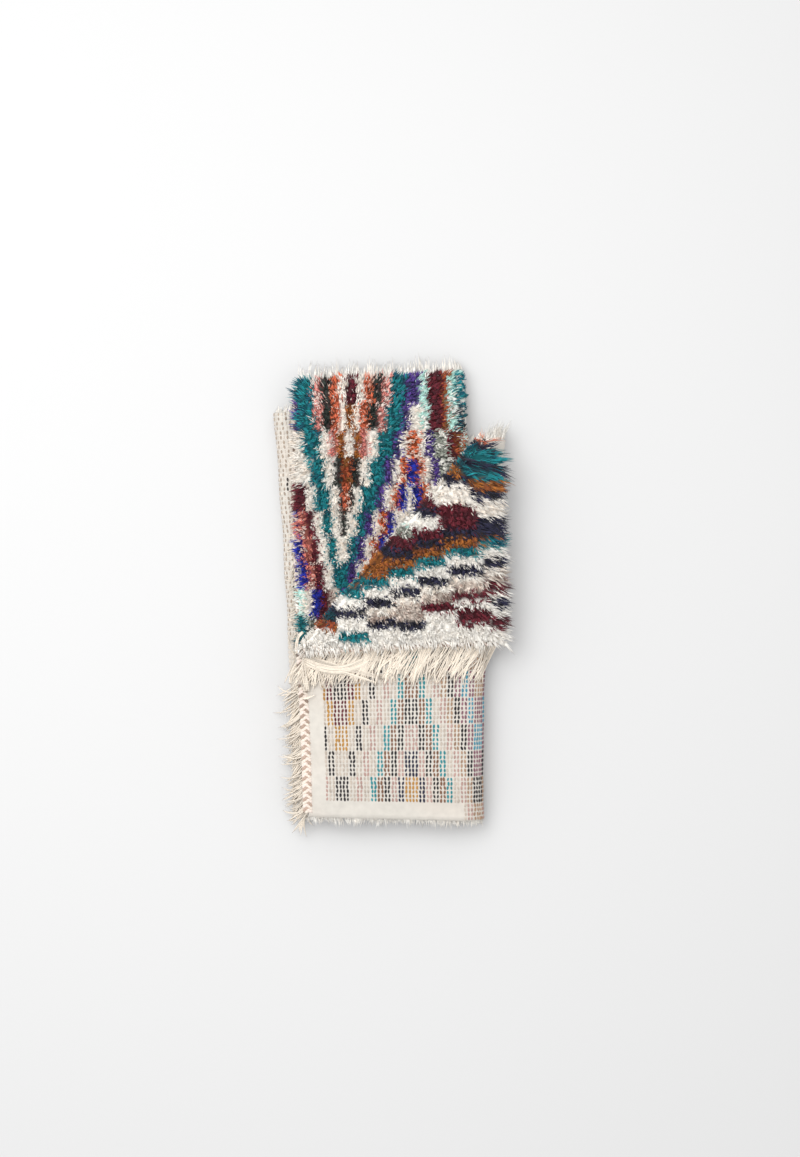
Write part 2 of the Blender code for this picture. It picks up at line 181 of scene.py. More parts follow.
NUMBER = {name: number for number, name in enumerate(YARNS)}


def linear(rgb):
    """Scene colour of an 8-bit display colour."""
    share = np.array(rgb, float) / 255
    return np.where(share <= 0.04045, share / 12.92, ((share + 0.055) / 1.055) ** 2.4)


FIRST_DYE = np.array([linear(yarn.rgb) for yarn in YARNS.values()])
SECOND_DYE = np.array([linear(yarn.second) for yarn in YARNS.values()])
SECOND_SHARE = np.array([yarn.share for yarn in YARNS.values()])
CREAM = linear((252, 247, 239))
IVORY = linear((243, 237, 227))
PINKISH_CAST = np.array((1.0, 0.95, 0.93))
GROUND_TINT = 0.95  # darkest places of the ground, as a share of its dye

# Display colours of the knots on the back, which show paler and greyer than the pile.
BACK_YARNS = {
    "cream": (216, 202, 188),
    "blush": (202, 168, 158),
    "tan": (184, 152, 126),
    "brown": (142, 104, 82),
    "gold": (198, 148, 78),
    "rust": (168, 92, 66),
    "maroon": (112, 52, 58),
    "plum": (150, 106, 118),
    "black": (52, 48, 50),
    "navy": (54, 54, 74),
    "teal": (58, 150, 158),
    "sky": (84, 160, 184),
}


# Numbers


def smooth(value, start, end):
    share = np.clip((value - start) / (end - start), 0.0, 1.0)
    return share * share * (3 - 2 * share)


def mix(low, high, share):
    return low + (high - low) * share


def unit(vectors):
    size = np.linalg.norm(vectors, axis=-1, keepdims=True)
    return vectors / np.maximum(size, 1e-9)


def triangle_wave(value, half):
    """Rises from 0 to half, then falls back, over and over."""
    return half - np.abs(np.mod(value, 2 * half) - half)


def painted_shade_of(dye, dark, pale):
    """A painted shade factor for each dye, between that of dark wool and that of pale wool."""
    return mix(dark, pale, smooth(dye.mean(axis=-1, keepdims=True), PALE_FROM, PALE_TO))


# Where the cloth lies


def line_at(line, across):
    """X and Y of a line at shares of the cloth's width."""
    top = (1 - across) * (1 - 2 * across)
    middle = 4 * across * (1 - across)
    low = across * (2 * across - 1)
    x = top * line.x_top + middle * line.x_mid + low * line.x_low
    return x, mix(line.y_top, line.y_low, across)


def line_x(line, y):
    return line_at(line, (line.y_top - y) / (line.y_top - line.y_low))[0]


def spot(section, along, across):
    """X and Y of points of a flat section, the outer one not turned back."""
    (x1, y1), (x2, y2) = (line_at(line, across) for line in SECTION_LINES[section])
    return mix(x1, x2, along), mix(y1, y2, along)


def from_end(x, y):
    """How far places of the flat outer layer are from its woven end."""
    return x - line_x(OUTER_END, y)


def ripple(wave, x, y):
    return np.sin(wave.per_x * x + wave.per_y * y + wave.start)


def lumps(x, y):
    return sum(ripple(wave, x, y) for wave in LUMP_WAVES) / len(LUMP_WAVES)


def from_crease(x, y):
    return (x - CREASE_LEFT[0]) * CREASE_AWAY[0] + (y - CREASE_LEFT[1]) * CREASE_AWAY[1]


def margin_scale(y):
    return 1 - MARGIN_SHARE * smooth(MARGIN_START - y, 0, MARGIN_REACH)


def overhang(x, y):
    share = np.clip((x - LEFT_ROLL.x_top) / (OUTER_ROLL.x_top - LEFT_ROLL.x_top), 0, 1)
    edge = mix(LEFT_ROLL.y_top, OUTER_ROLL.y_top, share)
    return OVERHANG_SAG * smooth(y - edge - OVERHANG_START, 0, OVERHANG_REACH)


def corner_sag(x, y):
    past = np.maximum(0.0, x - line_x(OUTER_ROLL, y)) / CORNER_SAG_REACH
    return CORNER_SAG * np.where(past < 1, past * past, 2 * past - 1)


def pulled_out(x, y, past):
    share = (x - OUTER_END.x_top) / (OUTER_ROLL.x_top - OUTER_END.x_top)
    inward = mix(OUTER_END.y_top, OUTER_ROLL.y_top, share) - y
    near_selvedge = 1 - smooth(inward, 0, PULL_WIDTH)
    fade = mix(1, PULL_LEFT, smooth(CREASE_RIGHT[0] - x, PULL_FADES_FROM, PULL_FADES_TO))
    return PULL * near_selvedge * fade * smooth(past, 0, PULL_FULL_FROM)


def ripples(warp, y):
    """Uneven creases of the outer layer, as a depth below its plain back."""
    waves = ripple(LONG_WAVES[0], warp, y) * ripple(LONG_WAVES[1], warp, y)
    short = SHORT_SHARE * ripple(SHORT_WAVES[0], warp, y) * ripple(SHORT_WAVES[1], warp, y)
    off_pucker = ((warp - PUCKER_WARP) / PUCKER_LONG) ** 2 + ((y - PUCKER_Y) / PUCKER_WIDE) ** 2
    off_trough = ((y - TROUGH_Y + TROUGH_SLOPE * (warp - TROUGH_WARP)) / TROUGH_WIDE) ** 2
    return RIPPLE * (1 + waves + short + PUCKER * np.exp(-off_pucker) + TROUGH * np.exp(-off_trough))


def outer_points(x, y, h):
    """Points of the outer layer, which has its back up, with its corner turned over the crease."""
    past = from_crease(x, y)
    warp = from_end(x, y)
    h = h + ripples(warp, y) * smooth(np.abs(past), 0.0, RIPPLE_FADE)
    droop = HEM_DROOP * (1 - smooth(warp, 0.0, HEM_DROOP_REACH)) * smooth(-past, 0.0, HEM_DROOP_FADE)
    turned = np.maximum(past, 0.0)
    angle = np.minimum(turned / CREASE_R, math.pi)
    radius = CREASE_R + h
    away = radius * np.sin(angle) - np.maximum(0.0, turned - CREASE_ARC)
    back = turned - away
    foot_x = x - CREASE_AWAY[0] * back + pulled_out(x, y, turned)
    foot_y = y - CREASE_AWAY[1] * back
    z = OUTER_Z + CREASE_R - radius * np.cos(angle)
    z = z - corner_sag(foot_x, foot_y) * smooth(turned, 0, 2 * CREASE_ARC)
    flat_z = (OUTER_Z - h) * margin_scale(y) - droop
    flat = past <= 0
    return np.stack(
        (np.where(flat, x, foot_x), np.where(flat, y, foot_y), np.where(flat, flat_z, z)), axis=-1
    )


def roll_points(line, across, turn, radius, middle_z, side):
    x, y = line_at(line, across)
    angle = math.pi * turn
    return x + side * radius * np.sin(angle), y, middle_z + radius * np.cos(angle)


def inner_points(section, along, across, h):
    """Points of any section but the outer layer."""
    if section == ROLL:
        y = line_at(OUTER_ROLL, across)[1]
        width = line_at(OUTER_ROLL, across)[0] - line_at(OUTER_END, across)[0]
        fade = 1 - smooth(along, 0.1, 0.9)
        h = h + ripples(width + along * SECTIONS[ROLL].length, y) * fade
        x, y, z = roll_points(OUTER_ROLL, across, along, OUTER_ROLL_R - h, OUTER_ROLL_R, 1)
    elif section == FLOOR:
        x, y = spot(FLOOR, along, across)
        z = h + 0 * x
    elif section == LEFT:
        bulge = LEFT_BULGE * np.sin(33 * across + 1.0) * np.sin(math.pi * along)
        radius = LEFT_ROLL_R - h + bulge
        x, y, z = roll_points(LEFT_ROLL, across, 1 - along, radius, LEFT_ROLL_R, -1)
    elif section == LOWER:
        x, y = spot(LOWER, along, across)
        z = INNER_LOW_Z - h + 0 * x
    elif section == INNER:
        middle = INNER_LOW_Z + INNER_ROLL_R
        x, y, z = roll_points(INNER_ROLL, across, 1 - along, INNER_ROLL_R + h, middle, 1)
    else:
        x, y = spot(TOP, along, across)
        z = INNER_TOP_Z + h + 0 * x
    if section in (LOWER, INNER, TOP):
        z = z - overhang(x, y)
    return np.stack((x, y, z * margin_scale(y)), axis=-1)


def cloth_points(section, along, across, h):
    """Places in the parcel of points of the cloth."""
    along, across, h = np.broadcast_arrays(*(np.asarray(v, float) for v in (along, across, h)))
    if section == OUTER:
        x, y = spot(OUTER, along, across)
        return outer_points(x, y, h)
    return inner_points(section, along, across, h)


def pile_heights(section, along, across):
    """Height of the tips of the pile above the back."""
    if section == OUTER:
        x, y = spot(OUTER, along, across)
        open_share = smooth(from_crease(x, y), CREASE_ARC, CREASE_ARC + CORNER_OPEN_REACH)
    elif section == INNER:
        x, y = line_at(INNER_ROLL, across)
        open_share = smooth(y, ROLL_OPEN_FROM_Y, ROLL_OPEN_TO_Y)
        open_share = open_share * smooth(along, ROLL_OPEN_FROM_TURN, ROLL_OPEN_TO_TURN)
    elif section == TOP:
        x, y = spot(TOP, along, across)
        open_share = smooth(from_crease(x, y), INNER_OPEN_FROM, INNER_OPEN_TO)
    else:
        return THICK + 0 * (along + across)
    high = THICK + open_share * (LOOSE + LUMP * lumps(x, y))
    if section == OUTER:
        return mix(HEM_THICK, high, smooth(from_end(x, y), 0, HEM_WIDTH))
    return high


Knots = namedtuple("Knots", "along across column row x y foot up warp weft")


def knots_of(section, along, across, column, row, h=CLOTH_THICK):
    """Knots with their feet, the way their pile points, and the warp's and weft's directions."""
    foot = cloth_points(section, along, across, h)
    up = unit(cloth_points(section, along, across, h + NEAR) - foot)
    further = along + NEAR / SECTIONS[section].length
    warp = unit(cloth_points(section, further, across, h) - foot)
    weft = unit(cloth_points(section, along, across + NEAR, h) - foot)
    if section == OUTER:
        x, y = spot(OUTER, along, across)
    else:
        x, y = foot[:, 0], foot[:, 1]
    return Knots(along, across, column, row, x, y, foot, up, warp, weft)


def knot_grid(section, h=CLOTH_THICK):
    """All the knots of a section. Its rows are counted up from the lower selvedge."""
    columns = round(SECTIONS[section].length / KNOT_WARP)
    rows = round(WIDTH / KNOT_WEFT)
    column, row = np.meshgrid(np.arange(columns), np.arange(rows))
    column, row = column.ravel(), row.ravel()
    along = (column + 0.5) / columns
    across = 1 - (row + 0.5) / rows
    return knots_of(section, along, across, column, row, h)


def only(knots, mask):
    """The knots where mask is true."""
    return Knots(*(values[mask] for values in knots))


# The pattern: lozenges of stepped rings, in blocks of six knots

# A line of a chart is one ring: its lowest yarn, then the rows of blocks where other yarns start.
# Rows count up from the point of the V, and are negative below it. The lines go outwards or inwards
# from the V's arm, and those of V_NEXT inwards from just outside the arm of the next V.
V_LEFT = (
    "teal",
    "deep_teal -1 beige 0 cream 6 purple 7 teal",
    "rust -1 maroon 4 cream 6 purple 7 teal",
    "rust -1 cobalt 0 salmon 3 maroon 4 cream",
    "stone -1 cream 0 cobalt 3 cream",
    "teal -1 mint 0 cream",
    "teal -1 mint",
    "teal",
)
V_RIGHT = ("teal", "purple", "cream 7 purple", "orange", "cobalt", "cream")
V_INSIDE = ("teal", "cream 6 pink", "charcoal 5 pink 6 charcoal", "rust 5 gold 6 coral", "cream")
V_MIDDLE = ("cream 2 charcoal 3 coral 4 rust 5 cream 6 gold 7 maroon",)
V_NEXT = ("stone 6 mint", "maroon", "rust", "mint", "deep_teal 7 teal", "teal")
V_POINT = np.array((-0.1375, 0.0075))
V_DRIFT = 0.057  # how far the V's middle leans to the right as it rises
V_SPREAD = 0.249
V_WIDEST = 0.115
V_ARM_HALF = 0.0188
V_FOOT_HALF = 0.011  # the arm is thinner near the V's point
V_FOOT_TO = 2
V_RING = 0.022
V_OUTER_RING, V_NEXT_RING = 0.0185, 0.0155  # between this V and the next, and in the next
V_HALF_PERIOD = 0.160
V_NEXT_ROW = 6  # from this row up the next V starts one ring further out
V_MIDDLE_HALF = 0.0088
V_TOP_ROW, V_TOP_MIDDLE_HALF = 7, 0.0128


def run_yarns(chart, ring, row):
    """Yarn numbers of knots from a chart, by their ring and row of blocks."""
    ring = np.clip(ring, 0, len(chart) - 1)
    found = np.zeros(len(ring), int)
    for number, line in enumerate(chart):
        lowest, *later = line.split()
        found[ring == number] = NUMBER[lowest]
        for start, name in zip(later[::2], later[1::2]):
            found[(ring == number) & (row >= int(start))] = NUMBER[name]
    return found


def inner_pattern(x, y):
    """Yarns of the inner layer's pile, at places in plan."""
    row = np.floor((y - V_POINT[1]) / (BLOCK * KNOT_WEFT)).astype(int)
    rise = (row + 0.5) * BLOCK * KNOT_WEFT
    aside = x - V_POINT[0] - V_DRIFT * rise
    fold = triangle_wave(np.abs(aside), V_HALF_PERIOD)
    past_arm = fold - np.minimum(V_SPREAD * rise, V_WIDEST)
    half = np.where(row <= V_FOOT_TO, V_FOOT_HALF, V_ARM_HALF)
    wide = np.where((past_arm > 0) & (aside > 0), V_OUTER_RING, V_RING)
    wide = np.where((past_arm < 0) & (aside > V_HALF_PERIOD), V_NEXT_RING, wide)
    steps = np.floor((np.abs(past_arm) - half) / wide).astype(int) + 1
    ring = np.sign(past_arm).astype(int) * np.maximum(steps, 0)
    found = run_yarns(V_LEFT, ring, row)
    right = aside > 0
    found[right] = run_yarns(V_RIGHT, ring, row)[right]
    inside = ring < 0
    found[inside] = run_yarns(V_INSIDE, -ring, row)[inside]
    middle = inside & (fold < np.where(row >= V_TOP_ROW, V_TOP_MIDDLE_HALF, V_MIDDLE_HALF))
    found[middle] = run_yarns(V_MIDDLE, 0 * row, row)[middle]
    next_ring = 1 - ring - (row < V_NEXT_ROW)
    other = (np.abs(aside) > V_HALF_PERIOD) & right & (next_ring >= 0)
    found[other] = run_yarns(V_NEXT, next_ring, row)[other]
    return found


# The turned-back corner. Its blocks count from the crease's outer end to the selvedge, and each
# lies one ring further from the woven end than the one before it. Levels are in rings.
CORNER_BLOCK = 0.0715
CORNER_BLOCKS_FROM = 0.0335
CORNER_RING = 0.0232
CORNER_SHIFT = 0.006  # the pile lies over towards the woven end by this much
Band = namedtuple("Band", "start yarn")
BANDS = (
    Band(-99, "white"),
    Band(0.4, "beige"),
    Band(1.3, "cream"),
    Band(2.1, "navy"),
    Band(3.1, "white"),
    Band(4.2, "teal"),
    Band(5.2, "gold"),
    Band(6.2, "navy"),
    Band(7.2, "maroon"),
    Band(8.4, "navy"),
)
# Patches that break the bands, by their first and last block and their levels.
Patch = namedtuple("Patch", "first last low high yarn")
PATCHES = (
    Patch(1, 1, -0.5, 0.5, "teal"),
    Patch(-9, 1, 0.5, 2.1, "white"),
    Patch(0, 0, 1.9, 2.8, "rust"),
    Patch(0, 0, 2.8, 4.3, "deep_teal"),
    Patch(-9, -1, 2.1, 2.9, "cream"),
    Patch(-9, -1, 2.9, 3.9, "rust"),
    Patch(-9, -1, 3.9, 6.2, "stone"),
    Patch(2, 2, -0.2, 0.7, "navy"),
    Patch(3, 3, -1.5, -0.6, "navy"),
    Patch(3, 3, -0.6, 0.4, "beige"),
    Patch(4, 9, -0.7, 0.4, "maroon"),
    Patch(5, 5, -3.3, -1.4, "maroon"),
    Patch(6, 9, -4.6, -3.3, "maroon"),
    Patch(6, 9, -2.3, -1.4, "navy"),
    Patch(-9, 2, 6.2, 7.6, "gold"),
    Patch(6, 9, 6.2, 7.2, "maroon"),
    Patch(-9, 3, 8.4, 9.4, "stone"),
    Patch(-9, 3, 9.4, 10.6, "mint"),
    Patch(4, 4, 8.3, 9.6, "white"),
)
# Above them an arm slants the other way, by so many rings for each block.
UPPER_STEP = 1.5
UPPER_BANDS = (
    Band(20.4, "navy"),
    Band(22.4, "cream"),
    Band(24.4, "navy"),
    Band(25.4, "gold"),
    Band(26.4, "teal"),
    Band(27.5, "deep_teal"),
    Band(28.0, "teal"),
    Band(29.7, "black"),
    Band(30.3, "coral"),
    Band(30.9, "cream"),
)
TOP_SPOTS_FROM, TOP_SPOTS_OVER = 26.4, 0.50  # tufts of a darker yarn among the topmost ones
TOP_SPOT_WAVE = Wave(118, 74, 0.9)
UPPER_MAROON_TO = 5  # up to this block its lowest band is maroon


def corner_levels(x, y):
    """Block and the two levels of places of the flat outer layer."""
    rings = (from_end(x, y) - CORNER_SHIFT) / CORNER_RING
    block = np.floor((y - CREASE_LEFT[1] - CORNER_BLOCKS_FROM) / CORNER_BLOCK)
    return block, rings - block, rings + UPPER_STEP * block


def corner_pattern(x, y):
    """Yarns of the turned-back corner's pile, at places of the flat outer layer."""
    block, level, upper = corner_levels(x, y)
    found = np.zeros(len(x), int)
    for band in BANDS:
        found[level >= band.start] = NUMBER[band.yarn]
    for patch in PATCHES:
        inside = (block >= patch.first) & (block <= patch.last)
        found[inside & (level >= patch.low) & (level < patch.high)] = NUMBER[patch.yarn]
    for band in UPPER_BANDS:
        found[upper >= band.start] = NUMBER[band.yarn]
    lowest = (upper >= UPPER_BANDS[0].start) & (upper < UPPER_BANDS[1].start)
    found[lowest & (block <= UPPER_MAROON_TO)] = NUMBER["maroon"]
    spots = (upper >= TOP_SPOTS_FROM) & (ripple(TOP_SPOT_WAVE, x, y) > TOP_SPOTS_OVER)
    found[spots] = NUMBER["navy"]
    return found


# Rings of the back, from the middle of the lozenge outwards: each is two columns of knots wide.
MIDDLE_RINGS = "navy blush maroon cream teal cream gold navy blush black brown teal cream blush"
BACK_RINGS = f"{MIDDLE_RINGS} cream black cream gold maroon black rust".split()
BACK_RINGS_RIGHT = f"{MIDDLE_RINGS} tan black plum sky plum tan tan".split()
RING_HALF_PERIOD = 10
BACK_MIDDLE = 30  # column of the lozenge's middle, from the outer end
BACK_MARGIN_ROWS = 4  # plain rows along the lower selvedge
BACK_SHIFT = 4


def back_pattern(column, row):
    """Colours of the knots as the back shows them, by their column from the outer end and row."""
    block = np.floor((row - BACK_MARGIN_ROWS) / BLOCK)
    aside = column - BACK_MIDDLE
    ring = np.floor(triangle_wave(np.abs(aside + 0.5) / 2, RING_HALF_PERIOD))
    level = ring + block - BACK_SHIFT + RING_HALF_PERIOD
    level = triangle_wave(level, 2 * RING_HALF_PERIOD).astype(int)
    left, right = (
        np.array([linear(BACK_YARNS[name]) for name in rings])[level]
        for rings in (BACK_RINGS, BACK_RINGS_RIGHT)
    )
    return np.where((aside > 0)[:, None], right, left)


# Meshes


def placed(name, data):
    made = bpy.data.objects.new(name, data)
    bpy.context.scene.collection.objects.link(made)
    return made


def mesh_piece(name, points, faces, dye, material, slot_name, extra=None):
    """A piece from numpy arrays: points, lists of faces with equal corners, and point colours."""
    mesh = bpy.data.meshes.new(name)
    mesh.vertices.add(len(points))
    mesh.vertices.foreach_set("co", (points - PLAN_CENTRE).astype(np.float32).ravel())
    loops = np.concatenate([f.ravel() for f in faces]).astype(np.int32)
    totals = np.concatenate([np.full(len(f), f.shape[1]) for f in faces])
    starts = np.concatenate(([0], np.cumsum(totals)[:-1])).astype(np.int32)
    mesh.loops.add(len(loops))
    mesh.loops.foreach_set("vertex_index", loops)
    mesh.polygons.add(len(totals))
    mesh.polygons.foreach_set("loop_start", starts)
    mesh.update(calc_edges=True)
    mesh.polygons.foreach_set("use_smooth", np.ones(len(totals), bool))
    add_attribute(mesh, "dye", "FLOAT_COLOR", np.hstack((dye, np.ones((len(dye), 1)))))
    for key, values in (extra or {}).items():
        add_attribute(mesh, key, "FLOAT", values)
    mesh.materials.append(material)
    piece = placed(name, mesh)
    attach(piece, "root")
    return piece


def joined(parts):
    """Points, faces and dyes of several parts, each (points, faces, dye), as those of one mesh."""
    points, dyes, groups, base = [], [], {}, 0
    for made, found, dye in parts:
        points.append(made)
        dyes.append(dye)
        for group in found:
            groups.setdefault(group.shape[1], []).append(group + base)
        base += len(made)
    faces = [np.concatenate(group) for group in groups.values()]
    return np.concatenate(points), faces, np.concatenate(dyes)


def add_attribute(mesh, name, kind, values):
    layer = mesh.attributes.new(name, kind, "POINT")
    key = "color" if kind == "FLOAT_COLOR" else "value"
    layer.data.foreach_set(key, np.asarray(values, np.float32).ravel())


def tubes(paths, radii, side, corners):
    """Tapering tubes along paths, each closed by a cap and a point. Returns points and faces."""
    count, steps = paths.shape[:2]
    rings = steps - 1
    ahead = unit(np.gradient(paths, axis=1))[:, :rings]
    side = side[:, None, :] - ahead * (side[:, None, :] * ahead).sum(-1, keepdims=True)
    side = unit(side)
    upward = np.cross(ahead, side)
    turn = 2 * math.pi * np.arange(corners) / corners
    spokes = (
        side[:, :, None] * np.cos(turn)[None, None, :, None]
        + upward[:, :, None] * np.sin(turn)[None, None, :, None]
    )
    around = paths[:, :rings, None] + spokes * radii[:, :rings, None, None]
    points = np.concatenate((around.reshape(count, -1, 3), paths[:, -1:]), axis=1)
    each = rings * corners + 1
    first = np.arange(count)[:, None] * each
    ring = np.arange(rings - 1)[:, None] * corners
    corner = np.arange(corners)[None, :]
    after = (corner + 1) % corners
    quads = np.stack(
        (ring + corner, ring + after, ring + corners + after, ring + corners + corner), axis=-1
    ).reshape(1, -1, 4)
    last = (rings - 1) * corners
    tips = np.stack(
        (last + corner[0], last + after[0], np.full(corners, each - 1)), axis=-1
    ).reshape(1, -1, 3)
    cap = np.arange(corners)[::-1][None, None, :]
    faces = [
        (quads + first[:, :, None]).reshape(-1, 4),
        (tips + first[:, :, None]).reshape(-1, 3),
        (cap + first[:, :, None]).reshape(-1, corners),
    ]
    return points.reshape(-1, 3), faces


def tube_piece(name, parts, material, slot_name):
    """One piece from several sets of tubes, each (paths, radii, side, corners, dye per tube)."""
    made, far = [], []
    for paths, radii, side, corners, dye in parts:
        points, faces = tubes(paths, radii, side, corners)
        points[:, 2] = np.maximum(points[:, 2], FLOOR_CLEAR / 2)
        sizes = np.linalg.norm(np.diff(paths, axis=1), axis=-1)
        along = np.concatenate((np.zeros((len(paths), 1)), np.cumsum(sizes, axis=1)), axis=1)
        along = np.concatenate((np.repeat(along[:, :-1], corners, axis=1), along[:, -1:]), axis=1)
        # Painted shade: each strand is darkened towards its root, where shade falls down in the pile.
        root = painted_shade_of(dye, ROOT_PAINTED_SHADE, PALE_ROOT_PAINTED_SHADE)
        shade = mix(root, 1.0, smooth(along / along[:, -1:], 0.0, ROOT_PAINTED_SHADE_TO))
        made.append((points, faces, (dye[:, None, :] * shade[..., None]).reshape(-1, 3)))
        far.append(along.ravel())
    return mesh_piece(name, *joined(made), material, slot_name, {"far": np.concatenate(far)})


# Materials

PLY = 0.006  # a plied yarn's turns are this far apart
RIB = KNOT_WARP / 3
THREAD = 0.0036


def set_inputs(tree, node, inputs):
    """Links sockets to a node's inputs, by their names or numbers, and sets the other values."""
    for key, value in inputs.items():
        if hasattr(value, "is_output"):
            tree.links.new(value, node.inputs[key])
        else:
            node.inputs[key].default_value = value


def new_material(name, roughness, **inputs):
    material = bpy.data.materials.new(name)
    material.use_nodes = True
    tree = material.node_tree
    shader = tree.nodes["Principled BSDF"]
    set_inputs(tree, shader, {"Roughness": roughness, **inputs})
    return material, tree, shader


def new_fabric(name, roughness, sheen):
    plain = {"Metallic": 0.0, "Specular IOR Level": 0.25, "Sheen Roughness": 0.6}
    return new_material(name, roughness, **{**plain, "Sheen Weight": sheen})


def attribute(tree, name, output="Fac"):
    node = tree.nodes.new("ShaderNodeAttribute")
    node.attribute_name = name
    return node.outputs[output]


def math_node(tree, operation, *values):
    node = tree.nodes.new("ShaderNodeMath")
    node.operation = operation
    set_inputs(tree, node, dict(enumerate(values)))
    return node.outputs[0]


def wave(tree, name, pitch):
    """A sine along a measured attribute, one wave for each pitch."""
    turns = math_node(tree, "MULTIPLY", attribute(tree, name), 2 * math.pi / pitch)
    return math_node(tree, "SINE", turns)


def mottled(tree, scale, low, high):
    """A factor that varies from place to place on the surface, from low to high, and its noise."""
    place = tree.nodes.new("ShaderNodeTexCoord")
    noise = tree.nodes.new("ShaderNodeTexNoise")
    set_inputs(tree, noise, {"Scale": scale, "Detail": 4.0, "Vector": place.outputs["Object"]})
    spread = tree.nodes.new("ShaderNodeMapRange")
    set_inputs(tree, spread, {"From Min": 0.3, "From Max": 0.7, "To Min": low, "To Max": high})
    set_inputs(tree, spread, {"Value": noise.outputs["Fac"]})
    return spread.outputs["Result"], noise.outputs["Fac"]


def dyed(tree, shader, factor):
    """The dye attribute times a factor, as the shader's base colour."""
    node = tree.nodes.new("ShaderNodeVectorMath")
    node.operation = "SCALE"
    set_inputs(tree, node, {0: attribute(tree, "dye", "Color"), "Scale": factor})
    set_inputs(tree, shader, {"Base Color": node.outputs["Vector"]})


def bumped(tree, shader, height, distance, strength):
    bump = tree.nodes.new("ShaderNodeBump")
    set_inputs(tree, bump, {"Distance": distance, "Strength": strength, "Height": height})
    set_inputs(tree, shader, {"Normal": bump.outputs["Normal"]})


def wool_material():
    """Soft rag and wool yarn: its dye, uneven from place to place, with a fibrous surface."""
    material, tree, shader = new_fabric("wool", roughness=0.95, sheen=0.10)
    broad, _ = mottled(tree, scale=90.0, low=0.84, high=1.12)
    fine, fibres = mottled(tree, scale=900.0, low=0.90, high=1.08)
    dyed(tree, shader, math_node(tree, "MULTIPLY", broad, fine))
    bumped(tree, shader, fibres, distance=0.0006, strength=0.6)
    return material


def cord_material():
    """Plied cotton yarn of the fringes: fine slanting plies along each strand."""
    material, tree, shader = new_fabric("plied_yarn", roughness=0.9, sheen=0.15)
    broad, fibres = mottled(tree, scale=160.0, low=0.92, high=1.05)
    plies = wave(tree, "far", PLY)
    # Painted shade: the colour darkens a little in the grooves between the plies.
    groove_painted_shade = math_node(tree, "MULTIPLY_ADD", plies, 0.05, 0.96)
    dyed(tree, shader, math_node(tree, "MULTIPLY", broad, groove_painted_shade))
    height = math_node(tree, "ADD", plies, fibres)
    bumped(tree, shader, height, distance=0.0005, strength=0.5)
    return material


def ground_material():
    """Woven ground: close weft ribs across the warp, over wool dyed as the pattern goes."""
    material, tree, shader = new_fabric("woven_ground", roughness=0.92, sheen=0.12)
    broad, fibres = mottled(tree, scale=60.0, low=0.94, high=1.04)
    ribs, threads = wave(tree, "warp", RIB), wave(tree, "weft", THREAD)
    weave = math_node(tree, "MULTIPLY", ribs, threads)
    # Painted shade: the colour darkens a little in the troughs between the weft ribs.
    shade = math_node(tree, "MULTIPLY_ADD", ribs, 0.035, 0.965)
    dyed(tree, shader, math_node(tree, "MULTIPLY", broad, shade))
    height = math_node(tree, "ADD", math_node(tree, "ADD", ribs, weave), fibres)
    bumped(tree, shader, height, distance=0.0005, strength=0.5)
    return material


# The ground and the dense pile


# The cloth as a flat mesh: where its points lie in the cloth, and in the flat, its faces and the
# pairs of points along its rim.
Chart = namedtuple("Chart", "section along across flat faces rim")


def chart_stations():
    """Columns of the flat mesh, by section and share of the way along it; closer on the rolls."""
    stations = []
    for number, section in enumerate(SECTIONS):
        least, finer = ROLL_STEPS if number in (ROLL, LEFT, INNER) else FLAT_STEPS
        steps = max(least, round(finer * section.length / GRID))
        stations += [number + k / steps for k in range(steps)]
    return [*stations, len(SECTIONS)]


def flat_spot(station, across):
    """Where a point of the cloth lies in the flat mesh, unrolled from the outer layer."""
    number = min(int(station + 1e-6), TOP)
    along = station - number
    if number == OUTER:
        return spot(OUTER, along, across)
    x, y = line_at(OUTER_ROLL, across)
    before = sum(s.length for s in SECTIONS[1:number])
    return x + before + along * SECTIONS[number].length, y


def cut_crease(bm, outer):
    """Cuts the faces of the outer layer wherever the cloth bends as it turns over the crease."""
    for step in range(CREASE_STEPS + 1):
        away = CREASE_LEFT + CREASE_AWAY * (CREASE_ARC * step / CREASE_STEPS)
        faces = [f for f in bm.faces if f[outer]]
        edges = {e for f in faces for e in f.edges}
        verts = {v for f in faces for v in f.verts}
        geom = [*faces, *edges, *verts]
        level_away = (*CREASE_AWAY, 0)
        bmesh.ops.bisect_plane(bm, geom=geom, dist=0.0002, plane_co=(*away, 0), plane_no=level_away)


def chart_mesh():
    bm = bmesh.new()
    station = bm.verts.layers.float.new("station")
    across = bm.verts.layers.float.new("across")
    outer = bm.faces.layers.int.new("outer")
    rows = round(WIDTH / GRID)
    stations = chart_stations()
    made = []
    for value in stations:
        line = []
        for row in range(rows + 1):
            share = row / rows
            vert = bm.verts.new((*flat_spot(value, share), 0))
            vert[station], vert[across] = value, share
            line.append(vert)
        made.append(line)
    for value, left, right in zip(stations, made, made[1:]):
        for row in range(rows):
            face = bm.faces.new((left[row], left[row + 1], right[row + 1], right[row]))
            face[outer] = value < 1
    cut_crease(bm, outer)
    bmesh.ops.triangulate(bm, faces=bm.faces[:])
    bm.verts.index_update()
    values = np.array([v[station] for v in bm.verts])
    section = np.minimum((values + 1e-5).astype(int), TOP)
    widths = np.array([v[across] for v in bm.verts])
    flat = np.array([v.co[:2] for v in bm.verts])
    faces = np.array([[v.index for v in f.verts] for f in bm.faces])
    rim = [e.link_loops[0] for e in bm.edges if e.is_boundary]
    rim = np.array([(loop.vert.index, loop.link_loop_next.vert.index) for loop in rim])
    bm.free()
    return Chart(section, values - section, widths, flat, faces, rim)


def chart_points(chart, height):
    """Where the chart's points lie, at a height above the back that is a function of each."""
    points = np.zeros((len(chart.section), 3))
    for number in range(len(SECTIONS)):
        here = chart.section == number
        along, across = chart.along[here], chart.across[here]
        h = height(number, along, across)
        if number == OUTER:
            points[here] = outer_points(chart.flat[here, 0], chart.flat[here, 1], h)
        else:
            points[here] = inner_points(number, along, across, h)
    return points


